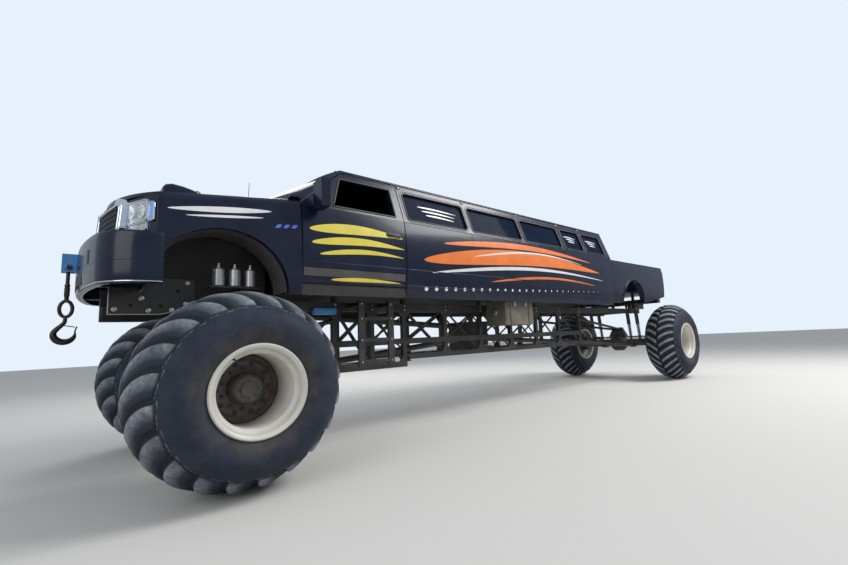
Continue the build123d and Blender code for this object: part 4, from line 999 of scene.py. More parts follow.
def fender_design():
    """White tapered bands under the fender's top edge and three small blue strokes behind the arch."""
    for side_name, side in SIDES:
        bands = []
        for first, last, middle, swell in FENDER_BANDS:
            a, b = ((end - FENDER_NOSE) / FENDER_LENGTH for end in (first, last))

            def half(u):
                return swell * np.sin(pi * np.clip((u - a) / (b - a), 0, 1)) ** 0.6 + 0.001

            bands.append(fender_band(side, first, last, middle, half, 60))
        starts = 0.335 + 0.07 * np.arange(3)
        strokes = [fender_band(side, s, s + 0.04, 0.755, lambda u: 0.020 + 0 * u, 5, 0.5) for s in starts]
        make_piece(f"fender_bands_{side_name}", "body_paint", *bands, look="white", towards=(side, 0, 0))
        make_piece(f"fender_strokes_{side_name}", "body_paint", *strokes, look="blue", towards=(side, 0, 0))


# Trim of the cab: sections carried along its lines

SEAL = rounded(0.016, 0.012, 0.005, 2)
DOOR_SEAL = rounded(0.018, 0.012, 0.005, 2)
PRESSED_LINE = rounded(0.006, 0.006, 0.002, 2)
CREASE = rounded(0.010, 0.004, 0.0018, 2)
JOINT_LINE = rounded(0.005, 0.003, 0.0012, 2)
DRIP_RAIL = rounded(0.014, 0.020, 0.005, 3)

SIDE_WINDOWS = ((1.810, 2.750), (2.840, 3.840), (3.920, 4.850), (4.960, 5.500), (5.600, 6.190))
SILL, HEAD, WINDOW_CORNER = 2.385, 2.735, 0.050
OUTLINE_STEP = 0.030
BACK_WINDOW = (1.30, 0.33, 0.05)
BACK_WINDOW_Z = 2.560
BACK_WALL, BACK_PANE = 6.350, 6.318
CAB_START, CAB_END = 1.765, 6.335
DOOR_START, DOOR_END = 0.592, 1.722
DOOR_WINDOW = ((0.900, SILL), (1.030, HEAD), (1.640, HEAD), (1.640, SILL))
HANDLE_LEVEL, HANDLE_STATIONS, HANDLE_RISE = 2.150, (1.50, 1.66), 0.020
LOCK_STATION, CUP_STATION = 1.69, 1.58
LOCK = ((-0.002, 0.012), (0.003, 0.012), (0.004, 0.009))
CREASE_LEVELS, DOOR_CREASE_LEVELS, JOINT_LEVELS = (1.800, 2.345, 1.62), (1.800, 1.62), (1.50, 2.34)
RAIL_STATIONS, RAIL_LEVEL = (1.08, 6.33), 2.826
MIRROR_X, MIRROR_STATION, MIRROR_Z = 1.118, 0.578 + 0.175, 2.420
LAMP_LEVEL, LAMP_STATIONS = 2.795, (1.78, 2.795, 3.88, 4.905, 5.55)
LAMP_DOME = ((0.004, 0.011), (0.012, 0.010), (0.017, 0.006), (0.018, 0.001))
# The windscreen's foot: half width, station and height at its ends, and what its bow adds at the middle.
SCREEN_HALF, SCREEN_STATION, SCREEN_Z = 0.87, 0.545, 2.447
SCREEN_BOW_AHEAD, SCREEN_BOW_UP = 0.245, 0.045
WIPERS = ((0.42, -0.12), (-0.20, -0.70))
WIPER_PIVOT = ((0, 0.018), (0.03, 0.016), (0.04, 0.010))
ANTENNA_X, ANTENNA_STATION, ANTENNA_Z = -0.060, 0.405, 2.462
WHIP = (
    (0, 0.016), (0.012, 0.014), (0.020, 0.006), (0.060, 0.004), (0.260, 0.003), (0.352, 0.0025),
    (0.356, 0.005), (0.364, 0.001),
)


def window_seals():
    """A rubber bead round each cab window, a thin pressed outline outside each side one; the back pane."""
    for side_name, side in SIDES:
        seals, lines = [], []
        for first, last in SIDE_WINDOWS:
            beads = ((0.0, 0.002, SEAL, seals), (OUTLINE_STEP, 0.001, PRESSED_LINE, lines))
            for step, proud, section, rows in beads:
                ring = rounded(last - first + 2 * step, HEAD - SILL + 1.6 * step, WINDOW_CORNER + step, 6)
                ring = ring + np.array([(first + last) / 2, (SILL + HEAD) / 2])
                path = on_wall(side, ring[:, 0], ring[:, 1], proud)
                rows.append(carried(path, section, closed=True, up=(side, 0, LEANING_OUT)))
        make_piece(f"window_seals_{side_name}", "glass", *seals, look="rubber")
        make_piece(f"window_outlines_{side_name}", "body_paint", *lines)
    wide, high, corner = BACK_WINDOW
    ring = rounded(wide, high, corner, 6)
    path = spots(ring[:, 0], along(BACK_WALL) + 0.002, BACK_WINDOW_Z + ring[:, 1])
    make_piece("back_window_seal", "glass", carried(path, SEAL, True, Y_AXIS), look="rubber")
    pane_place = (0, along(BACK_PANE), BACK_WINDOW_Z)
    pane = box_plate(pane_place, Y_AXIS, X_AXIS, wide - 0.006, high - 0.006, 0.006, corner - 0.004, 0.001)
    make_piece("back_window_pane", "glass", pane)


def door_trim():
    """For each front door: handle and its cup, lock, window seal, mirror glass and two crease lines."""
    steps = 15
    rise = HANDLE_RISE * np.sin(pi * np.linspace(0, 1, steps)) ** 0.45 + 0.001
    corners = np.array(DOOR_WINDOW)
    part = np.linspace(0.0, 1.0, 12, endpoint=False)[:, None]
    frame_line = np.concatenate([(1 - part) * a + part * b for a, b in zip(corners, np.roll(corners, -1, 0))])
    for side_name, side in SIDES:
        door = f"front_door_{side_name}"
        out = (side, 0, 0)
        grip = on_wall(side, np.linspace(*HANDLE_STATIONS, steps), HANDLE_LEVEL, rise)
        lock = turned(on_wall(side, LOCK_STATION, HANDLE_LEVEL), out, LOCK, 16)
        handle = carried(grip, rounded(0.022, 0.010, 0.0045, 3), up=out)
        make_piece(f"door_handle_{side_name}", "body_paint", handle, lock, body=door)
        place = on_wall(side, CUP_STATION, HANDLE_LEVEL, -0.001)
        cup = box_plate(place, out, Y_AXIS, 0.20, 0.075, 0.003, 0.03, 0.001)
        make_piece(f"handle_cup_{side_name}", "body_paint", cup, body=door, look="rubber")
        line = on_wall(side, frame_line[:, 0], frame_line[:, 1], 0.002)
        seal = carried(line, DOOR_SEAL, closed=True, up=(side, 0, LEANING_OUT))
        make_piece(f"door_window_seal_{side_name}", "glass", seal, body=door, look="rubber")
        mirror = (side * MIRROR_X, along(MIRROR_STATION), MIRROR_Z)
        glass = box_plate(mirror, Y_AXIS, out, 0.150, 0.225, 0.004, 0.035, 0.002)
        make_piece(f"mirror_glass_{side_name}", "steel", glass, body=door, look="bright")
        station = np.linspace(DOOR_START, DOOR_END, 24)
        lines = [on_wall(side, station, level, 0.0005) for level in DOOR_CREASE_LEVELS]
        creases = [carried(line, CREASE, up=out) for line in lines]
        make_piece(f"door_creases_{side_name}", "body_paint", *creases, body=door)


def cab_trim():
    """Clearance lamps on the roof's edge, drip rails, panel creases, wipers and an antenna on the cowl."""
    lamps, bases = [], []
    for side_name, side in SIDES:
        out, leaning = (side, 0, 0), (side, 0, LEANING_OUT)
        for station in LAMP_STATIONS:
            place = on_wall(side, station, LAMP_LEVEL, -0.001)
            bases.append(box_plate(place, leaning, Y_AXIS, 0.052, 0.030, 0.006, 0.010, 0.002))
            lamps.append(turned(place, leaning, LAMP_DOME, 14))
        rail = carried(on_wall(side, np.linspace(*RAIL_STATIONS, 90), RAIL_LEVEL), DRIP_RAIL)
        make_piece(f"drip_rail_{side_name}", "body_paint", rail)
        station = np.linspace(CAB_START, CAB_END, 60)
        creases = [carried(on_wall(side, station, level, 0.0004), CREASE, up=out) for level in CREASE_LEVELS]
        upright = np.linspace(*JOINT_LEVELS, 40)
        creases += [carried(on_wall(side, s, upright, 0.0002), JOINT_LINE, up=out) for s in LAMP_STATIONS[1:]]
        make_piece(f"side_creases_{side_name}", "body_paint", *creases)
    make_piece("clearance_lamps", "lamp_lens", *lamps, look="clear")
    make_piece("clearance_lamp_bases", "grille_plastic", *bases, look="rubber")
    # Wipers lie along the foot of the windscreen.
    wipers = []
    share = np.linspace(0, 1, 24)
    for foot_x, tip_x in WIPERS:
        x = foot_x + (tip_x - foot_x) * share
        bow = 1 - (x / SCREEN_HALF) ** 2
        y = along(SCREEN_STATION - SCREEN_BOW_AHEAD * bow) + 0.055 * share
        z = SCREEN_Z + SCREEN_BOW_UP * bow + 0.060 * share
        wipers.append(carried(spots(x, y, z), rounded(0.014, 0.008, 0.003, 2), scale=1 - 0.35 * share))
        wipers.append(carried(spots(x, y + 0.012, z + 0.008)[6:], rounded(0.008, 0.022, 0.003, 2)))
        wipers.append(turned((foot_x, y[0], z[0] - 0.030), (0, -0.25, 1), WIPER_PIVOT, 14))
    make_piece("wipers", "interior_plastic", *wipers, look="rubber")
    mast = turned((ANTENNA_X, along(ANTENNA_STATION), ANTENNA_Z), (0.02, 0.03, 1), WHIP, 10)
    make_piece("antenna", "steel", mast, look="rubber")


# Nose

NOSE_CENTRE, NOSE_RADIUS = three_point_circle((-0.935, -0.5205), (0.0, -0.785), (0.935, -0.5205))
GRILLE_FOOT, GRILLE_HEAD, GRILLE_LEAN = 1.955, 2.238, 0.06
GRILLE_MIDDLE = (GRILLE_FOOT + GRILLE_HEAD) / 2
MESH_PITCH = 0.030
# (inner edge, outer edge, foot, head, corner): head lamp, lower strip, corner marker
BEZELS = (
    (0.622, 0.848, 2.036, 2.203, 0.018),
    (0.622, 0.848, 1.968, 2.020, 0.012),
    (0.868, 0.915, 2.032, 2.176, 0.016),
)
BOWLS_X, BOWLS_Z = (0.682, 0.794), 2.117
MARKER_X, MARKER_Z, MARKER_WIDTH, MARKER_HEIGHT = 0.8915, 2.104, 0.044, 0.140
BOWL = (
    (-0.004, 0.050), (0.003, 0.049), (0.004, 0.044), (-0.002, 0.030), (0.001, 0.014), (0.006, 0.011),
    (0.008, 0.002),
)


def nose_front(x, proud):
    """Y of the nose panel's face at a half width, by its plan arc, standing proud."""
    across = np.asarray(x) - NOSE_CENTRE[0]
    return FRONT_AXLE + NOSE_CENTRE[1] - np.sqrt((NOSE_RADIUS + proud) ** 2 - across**2)


def on_nose(x, z, proud, lean=0.0):
    """Points laid on the nose's face; the grille's lean back from its foot."""
    return spots(x, nose_front(x, proud) + lean * (z - GRILLE_FOOT), z)


def grille():
    """A bright shell round two tall openings with a centre bar, and a dark mesh of uprights behind them."""
    tall = GRILLE_HEAD - GRILLE_FOOT

    def on_grille(x, z, proud, section, closed):
        return carried(on_nose(x, z, proud, GRILLE_LEAN), section, closed, Y_AXIS)

    ring = rounded(1.24, tall, 0.075, 8)
    shell = [on_grille(ring[:, 0], GRILLE_MIDDLE + ring[:, 1], 0.034, rounded(0.044, 0.064, 0.018, 4), True)]
    for middle in (-0.30, 0.30):
        ring = rounded(0.555, tall - 0.044, 0.045, 8)
        x, z = middle + ring[:, 0], GRILLE_MIDDLE + ring[:, 1]
        shell.append(on_grille(x, z, 0.046, rounded(0.022, 0.022, 0.009, 4), True))
    z = np.linspace(GRILLE_FOOT, GRILLE_HEAD, 12)
    shell.append(on_grille(0 * z, z, 0.046, rounded(0.060, 0.030, 0.012, 4), False))
    make_piece("grille_shell", "grille_plastic", *shell, look="bright")
    x, z = np.meshgrid(np.linspace(-0.60, 0.60, 121), z, indexing="ij")
    front = on_nose(x, z, 0.036, GRILLE_LEAN)
    front[..., 1] += 0.006 * np.cos(tau * x / MESH_PITCH)
    mesh = (front, [grid_faces(121, 12)])
    make_piece("grille_mesh", "grille_plastic", mesh, look="dark_mesh", towards=(0, -1, 0))
    x = np.linspace(-0.585, 0.585, 60)
    section = rounded(0.008, 0.008, 0.003, 2)
    levels = np.linspace(GRILLE_FOOT + 0.05, GRILLE_HEAD - 0.05, 5)
    bars = [on_grille(x, level, 0.042, section, False) for level in levels]
    make_piece("grille_bars", "grille_plastic", *bars, look="dark_mesh")


def head_lamps():
    """Bright bezels round each lamp, two reflector bowls in each head lamp, a blue-white corner marker."""
    bezels, bowls, markers = [], [], []
    for side in (LEFT, RIGHT):
        for inner, outer, foot, head, corner in BEZELS:
            ring = rounded(outer - inner + 0.004, head - foot + 0.004, corner, 4)
            path = on_nose(side * (inner + outer) / 2 + ring[:, 0], (foot + head) / 2 + ring[:, 1], 0.010)
            bezels.append(carried(path, rounded(0.009, 0.012, 0.003, 2), True, Y_AXIS))
        for x in BOWLS_X:
            place = (side * x, float(nose_front(x, 0.0075)), BOWLS_Z)
            bowls.append(turned(place, (side * 0.35, -1, 0), BOWL, 28))
        ring, middle = rounded(MARKER_WIDTH, MARKER_HEIGHT, 0.018, 4), np.array([side * MARKER_X, MARKER_Z])
        rows = [middle + ring * size for size in (1.0, 1.0, 0.8)]
        stack = [on_nose(row[:, 0], row[:, 1], proud) for row, proud in zip(rows, (0.0085, 0.011, 0.014))]
        markers.append(rings(np.stack(stack)))
    make_piece("lamp_bezels", "grille_plastic", *bezels, look="bright")
    make_piece("lamp_reflectors", "lamp_lens", *bowls, look="clear")
    make_piece("corner_markers", "lamp_lens", *markers, look="corner")


# Bumper

BUMPER_FOOT, BUMPER_HEAD = 1.530, 1.920
BUMPER_CORNER = ((0.800, -0.850), (0.950, -0.740), (1.000, -0.485))
BUMPER_FRONT = ((-0.800, -0.850), (0.0, -0.935), (0.800, -0.850))
SMOOTHED_OVER = 15
SKIN_ROWS = 27
# (middle, width, level, height, corner, distance out)
INTAKE = (0.0, 0.900, 1.622, 0.096, 0.030, 0.0145)
SLOT_X, SLOT = 0.620, (0.050, 1.760, 0.110, 0.018, 0.0158)
LOWER_LINE_Z, GROOVE_Z = 1.545, 1.700
PLATE_X = 0.489
PLATE_BOLTS = (
    (-0.72, 1.60), (-0.72, 1.38), (-0.56, 1.60), (-0.50, 1.37), (-0.34, 1.375), (-0.24, 1.43), (-0.23, 1.61),
    (-0.55, 1.47),
)
PLATE_EDGE = ((-0.760, 1.640), (-0.760, 1.340), (-0.420, 1.340), (-0.180, 1.400))


def bumper_plan():
    """The front bumper's outer face in plan, corner to corner, and its smoothed outward directions."""
    corner, front = arc_through(*BUMPER_CORNER, 40), arc_through(*BUMPER_FRONT, 80)
    plan = np.concatenate([corner[::-1] * (-1, 1), front[1:-1], corner])
    ahead = np.gradient(plan, axis=0)
    out = np.stack([ahead[:, 1], -ahead[:, 0]], -1)
    half = SMOOTHED_OVER // 2
    padded = np.pad(out / np.linalg.norm(out, axis=1)[:, None], ((half, half), (0, 0)), mode="edge")
    even = np.ones(SMOOTHED_OVER) / SMOOTHED_OVER
    out = np.stack([np.convolve(padded[:, k], even, "valid") for k in (0, 1)], -1)
    return plan, out / np.linalg.norm(out, axis=1)[:, None]


BUMPER_PLAN, BUMPER_OUT = bumper_plan()


def bumper_rows(levels, prouds):
    """Points on the bumper's face: rows by level, each at its own distance out, columns round the plan."""
    flat = BUMPER_PLAN[None] + BUMPER_OUT[None] * np.asarray(prouds)[:, None, None]
    return spots(flat[..., 0], along(flat[..., 1]), np.asarray(levels)[:, None])


def bumper_patch(middle, width, level, height, corner, proud):
    """A rounded sheet of painted shade drawn on the bumper's face where a recess is: a grid whose foot and
    head round in at its ends.
    """
    x = np.linspace(-width / 2, width / 2, 61)
    near = np.clip((np.abs(x) - (width / 2 - corner)) / corner, 0, 1)
    half = height / 2 - corner * (1 - np.sqrt(1 - near**2)) + 1e-4
    path = BUMPER_PLAN + BUMPER_OUT * proud
    y = along(np.interp(middle + x, path[:, 0], path[:, 1]))
    return spots(middle + x, y, level + half * np.linspace(-1, 1, 7)[:, None]), [grid_faces(7, 61)]


def bumper_trim():
    """A bulged skin with rolled edges on the bumper, sheets of painted shade for its intake and slots, a pale
    line along its foot; bolts and edges of the two plates under it."""
    turn = np.linspace(-pi / 2, pi / 2, SKIN_ROWS)
    lift = np.sign(turn) * np.abs(np.sin(turn)) ** 0.8
    level = (BUMPER_FOOT + BUMPER_HEAD) / 2 + (BUMPER_HEAD - BUMPER_FOOT) / 2 * lift
    outer = bumper_rows(level, -0.016 + 0.030 * np.cos(turn) ** 0.35)
    inner = bumper_rows(level[::-1], np.full(SKIN_ROWS, -0.018))
    make_piece("bumper_skin", "body_paint", rings(np.concatenate([outer, inner]).transpose(1, 0, 2)))
    # Sheets of painted shade stand for the intake and the two slots.
    dark = [bumper_patch(*INTAKE), *(bumper_patch(side * SLOT_X, *SLOT) for side in (LEFT, RIGHT))]
    make_piece("bumper_recesses", "body_paint", *dark, look="rubber", towards=(0, -1, 0))
    low = carried(bumper_rows([LOWER_LINE_Z], [0.004])[0], rounded(0.010, 0.010, 0.004, 3))
    make_piece("bumper_lower_line", "grille_plastic", low, look="bright")
    groove = carried(bumper_rows([GROOVE_Z], [0.0125])[0], rounded(0.006, 0.010, 0.002, 2))
    make_piece("bumper_edges", "body_paint", groove)
    bolts, edges = [], []
    corners = np.array(PLATE_EDGE)
    part = np.linspace(0, 1, 8, endpoint=False)[:, None]
    line = np.concatenate([*(a + part * (b - a) for a, b in zip(corners, corners[1:])), corners[-1:]])
    for side in (LEFT, RIGHT):
        for station, level in PLATE_BOLTS:
            place = (side * PLATE_X, along(station), level)
            bolts.append(turned(place, (side, 0, 0), ((0, 0.019), (0.003, 0.019), (0.004, 0.017)), 14))
            bolts.append(bolt((side * (PLATE_X + 0.003), along(station), level), (side, 0, 0), 0.013, 0.011))
        path = spots(side * PLATE_X, along(line[:, 0]), line[:, 1])
        edges.append(carried(path, rounded(0.008, 0.008, 0.003, 2), up=(side, 0, 0.001)))
    make_piece("horn_plate_bolts", "steel", *bolts)
    make_piece("horn_plate_edges", "steel", *edges)


# Bonnet

CROWN_CENTRE, CROWN_RADIUS = three_point_circle((-0.864, 0.0), (0.0, 0.070), (0.864, 0.0))
BONNET_BACK, BONNET_BACK_Z = 0.390, 2.385
BONNET_SLOPE = (BONNET_BACK_Z - 2.275) / (BONNET_BACK + 0.520)
CREASE_START, CREASE_END, CREASE_X, CREASE_SPREAD = -0.55, 0.25, 0.50, 0.06
JET_X, JET_STATION = 0.3, 0.19
HOOP_STATION, HOOP_Z, HOOP_REACH, HOOP_RISE = -0.085, 2.560, 0.040, 0.052
MOUTH_STATION, MOUTH_Z = -0.3915, 2.462
# The scoop's hood, from its mouth to where it sinks into the bonnet: (station, width, top)
HOOD = (
    (-0.392, 0.270, 2.545), (-0.386, 0.292, 2.572), (-0.365, 0.300, 2.598), (-0.315, 0.304, 2.612),
    (-0.230, 0.306, 2.602), (-0.147, 0.304, 2.583), (-0.060, 0.298, 2.552), (0.040, 0.288, 2.505),
    (0.130, 0.270, 2.455), (0.190, 0.250, 2.415),
)


def bonnet_z(x, station):
    """Height of the bonnet's crown: its arc across, rising towards the windscreen."""
    rise = CROWN_CENTRE[1] + np.sqrt(CROWN_RADIUS**2 - (x - CROWN_CENTRE[0]) ** 2)
    return BONNET_BACK_Z + BONNET_SLOPE * (station - BONNET_BACK) + rise


def hood_ring(station, width, top):
    """One section of the scoop's hood: a round-cornered ring, wider at its foot, sunk in the bonnet."""
    base = bonnet_z(0.0, station) - 0.030
    tall = top - base
    ring = rounded(width, tall, min(0.045, tall * 0.45), 6)
    return spots(ring[:, 0] * (1 - 0.06 * ring[:, 1] / tall), along(station), (top + base) / 2 + ring[:, 1])


def bonnet_trim():
    """Two raised creases along the bonnet, the scoop's hood, slats in its mouth over a plate of painted
    shade, a hoop, washer jets.
    """
    creases = []
    for side in (LEFT, RIGHT):
        station = np.linspace(CREASE_START, CREASE_END, 40)
        x = side * (CREASE_X + CREASE_SPREAD * (station - CREASE_START))
        ends = np.sin(pi * np.linspace(0.02, 0.98, 40)) ** 0.4
        path = spots(x, along(station), bonnet_z(x, station) - 0.001)
        creases.append(carried(path, rounded(0.030, 0.010, 0.0045, 3), scale=ends))
    make_piece("bonnet_creases", "body_paint", *creases, body="bonnet")
    make_piece("scoop_hood", "body_paint", rings(np.stack([hood_ring(*row) for row in HOOD])), body="bonnet")
    # A dark plate of painted shade fills the scoop's mouth.
    place = (0, along(MOUTH_STATION), MOUTH_Z)
    mouth_shade = box_plate(place, (0, -1, 0), X_AXIS, 0.215, 0.110, 0.003, 0.035, 0.001)
    make_piece("scoop_mouth", "body_paint", mouth_shade, body="bonnet", look="rubber")
    lip = rounded(0.232, 0.128, 0.040, 6)
    lip = spots(lip[:, 0], along(-0.395), MOUTH_Z + lip[:, 1])
    slats = [carried(lip, rounded(0.010, 0.010, 0.004, 2), closed=True, up=Y_AXIS)]
    for level in (-0.024, 0.0, 0.024):
        slat = spots(np.linspace(-0.108, 0.108, 12), along(-0.397), MOUTH_Z + level)
        slats.append(carried(slat, rounded(0.007, 0.006, 0.002, 2)))
    make_piece("scoop_slats", "body_paint", *slats, body="bonnet", look="dark_mesh")
    turn = np.linspace(0, pi, 24)
    hoop = spots(0.0, along(HOOP_STATION) + HOOP_REACH * np.cos(turn), HOOP_Z + HOOP_RISE * np.sin(turn))
    small = [carried(hoop, circle(0.005, 8), up=X_AXIS)]
    for x in (-JET_X, JET_X):
        jet = (x, along(JET_STATION), bonnet_z(x, JET_STATION) - 0.002)
        small.append(turned(jet, Z_AXIS, ((0, 0.012), (0.010, 0.011), (0.014, 0.006)), 12))
    make_piece("bonnet_ring_and_jets", "steel", *small, body="bonnet", look="rubber")


# Bed and tail

BED_ARCH_STATION, BED_ARCH_Z, BED_ARCH_RADIUS = 7.150, 1.540, 0.440
BED_TOP, BED_FLOOR = 2.321, 1.801
RAIL_CAP_X, RAIL_CAP_STATIONS = 0.925, (6.40, 8.53)
LOOP_X, LOOP_Z, LOOP_RADIUS, LOOP_STATIONS = 0.906, 2.279, 0.03, (6.8, 7.5, 8.2)
GATE_STATION, GATE_HALF, HANDLE_BACK, HANDLE_HALF = 8.5175, 0.86, 8.541, 0.085
TAIL_LAMP_X, TAIL_LAMP_BACK = 0.935, 8.5645
# (look, level, height)
TAIL_LENSES = (("red", 2.150, 0.130), ("amber", 2.045, 0.060), ("clear", 1.950, 0.110))
RIBS, RIB_REACH, RIB_STATIONS, ARCH_BOX_X = 17, 0.80, (6.45, 8.44), 0.66


def bed_trim():
    """Flared arch lips, rail caps, tail lamp lenses in three colours, tie loops and floor ribs; the
    tailgate's cap, handle and its cup."""
    flares, caps, loops, ribs = [], [], [], []
    turn, arch = np.linspace(0, pi, 16), np.linspace(0.06, pi - 0.06, 48)
    reach = BED_ARCH_RADIUS + 0.012
    for side in (LEFT, RIGHT):
        cap = spots(side * RAIL_CAP_X, along(np.linspace(*RAIL_CAP_STATIONS, 40)), BED_TOP)
        caps.append(carried(cap, rounded(0.074, 0.010, 0.004, 3)))
        for station in LOOP_STATIONS:
            y, z = along(station) + LOOP_RADIUS * np.cos(turn), LOOP_Z - LOOP_RADIUS * np.sin(turn)
            loop = spots(side * LOOP_X, y, z)
            loops.append(carried(loop, circle(0.005, 8), up=X_AXIS))
        station, level = BED_ARCH_STATION + reach * np.cos(arch), BED_ARCH_Z + reach * np.sin(arch)
        lip = on_wall(side, station, level, -0.001)
        flares.append(carried(lip, rounded(0.034, 0.026, 0.011, 4), up=X_AXIS))
    make_piece("bed_arch_flares", "body_paint", *flares)
    make_piece("bed_rail_caps", "interior_plastic", *caps, look="rubber")
    for look, level, tall in TAIL_LENSES:
        places = [(side * TAIL_LAMP_X, along(TAIL_LAMP_BACK), level) for side in (LEFT, RIGHT)]
        lenses = [box_plate(place, Y_AXIS, X_AXIS, 0.050, tall, 0.008, 0.008, 0.003) for place in places]
        make_piece(f"tail_lamp_{look}", "lamp_lens", *lenses, look=look)
    make_piece("bed_tie_loops", "steel", *loops)
    for x in np.linspace(-RIB_REACH, RIB_REACH, RIBS):
        station = np.linspace(*RIB_STATIONS, 20)
        if abs(x) > ARCH_BOX_X:
            station = station[:7]
        ribs.append(carried(spots(x, along(station), BED_FLOOR), rounded(0.040, 0.010, 0.004, 3)))
    make_piece("bed_floor_ribs", "body_paint", *ribs, look="floor_paint")
    path = spots(np.linspace(-GATE_HALF, GATE_HALF, 30), along(GATE_STATION), BED_TOP)
    cap = carried(path, rounded(0.044, 0.008, 0.003, 3))
    make_piece("tailgate_cap", "interior_plastic", cap, body="tailgate", look="rubber")
    cup = box_plate((0, along(8.5300), 2.215), Y_AXIS, X_AXIS, 0.24, 0.085, 0.012, 0.030, 0.004)
    make_piece("tailgate_handle_cup", "interior_plastic", cup, body="tailgate", look="rubber")
    bow = 0.012 * np.sin(pi * np.linspace(0, 1, 18)) ** 0.4
    grip = spots(np.linspace(-HANDLE_HALF, HANDLE_HALF, 18), along(HANDLE_BACK) + bow, 2.222)
    handle = carried(grip, rounded(0.026, 0.010, 0.004, 3), up=Y_AXIS)
    make_piece("tailgate_handle", "steel", handle, body="tailgate", look="bright")


# Chassis. Lathe profiles are rows of (height, radius).

BAND = ((0, 0.040), (0.012, 0.0405), (0.014, 0.038))
CAN = (
    (0, 0.040), (0.006, 0.048), (0.150, 0.048), (0.158, 0.040), (0.162, 0.020), (0.178, 0.018),
    (0.180, 0.010),
)
CAN_BAND = ((0, 0.0495), (0.010, 0.0495), (0.011, 0.048))
VALVE = ((0, 0.012), (0.030, 0.012), (0.034, 0.008))
NIPPLE = ((0, 0.006), (0.008, 0.006), (0.012, 0.003))
COVER = ((0, 0.130), (0.012, 0.129), (0.014, 0.106), (0.022, 0.080), (0.026, 0.040), (0.027, 0.002))
FILLER = ((0, 0.045), (0.016, 0.044), (0.024, 0.036), (0.026, 0.010))
LATCH = ((0, 0.009), (0.006, 0.009), (0.008, 0.006))

# Shock absorbers: half widths, feet (from the axle towards the middle, over it), heads (the same way, height)
SHOCKS_X, SHOCK_FOOT, SHOCK_HEAD = (0.345, 0.540), (0.105, 0.092), (0.200, 1.530)
RESERVOIR_X, RESERVOIR_FOOT, RESERVOIR_BANDS, VALVE_Z = 0.645, 1.5745, (1.61, 1.70), 1.748
RESERVOIR_STATIONS = (-0.030, 0.100, 0.230)
TRUSS_FACE, TRUSS_OUTSIDE, TRUSS_HEAD = 0.4600, 0.465, 1.375
TRUSS_POSTS = (1.150, 1.610, 2.060, 2.720, 3.380, 4.040, 4.680, 5.310, 5.950)
DEEP_TRUSS_END, DEEP_FOOT, SHALLOW_FOOT, POST_BOLTS = 2.060, 0.775, 0.860, (1.400, 1.450)
GUSSET_NEAR, GUSSET_FAR, GUSSET_HEIGHT, GUSSET_THICKNESS = 0.028, 0.090, 0.075, 0.010
CASE_X, CASE_STATION, CASE_Z = 0.4655, 1.015, 1.372
LINER_X, LINER_WIDTH, LINER_RIBS_X = 0.765, 0.330, (0.660, 0.760, 0.860)
ARCH_STATION, ARCH_Z, ARCH_REACH = -0.060, 1.500, 0.5160
COVER_FACE, COVER_BOLTS, COVER_BOLT_FACE, COVER_BOLT_CIRCLE = 0.130, 12, 0.142, 0.118
KINGPIN_HALF = 0.140
TANK_X, TANK_STATION, TANK_Z, TANK_WIDTH, TANK_HEIGHT = 0.6653, 3.790, 1.340, 0.412, 0.342
STRAP_OFFSET, LATCH_OFFSET, LATCH_X, LATCH_Z = 0.20, 0.12, 0.8655, 1.470
FILLER_OFFSET, FILLER_Z = 0.309, 1.36
RUNGS, RUNG_STATIONS, RUNG_X = (0.820, 1.050, 1.280), (1.37, 1.66), 0.700
LADDER_POSTS, LADDER_BOLT_X, LADDER_HEAD = (1.330, 1.700), 0.715, 1.440


def spring(place, end, radius, wire, turns):
    """A coil spring: a wire carried along a helix from a place to an end."""
    axis = Vector(end - place).normalized()
    first = np.array(axis.orthogonal().normalized())
    second = np.cross(np.array(axis), first)
    share = np.linspace(0, 1, int(turns * 18))[:, None]
    angle = share * turns * tau
    path = place + (end - place) * share + radius * (np.cos(angle) * first + np.sin(angle) * second)
    return carried(path, circle(wire, 8), up=axis)


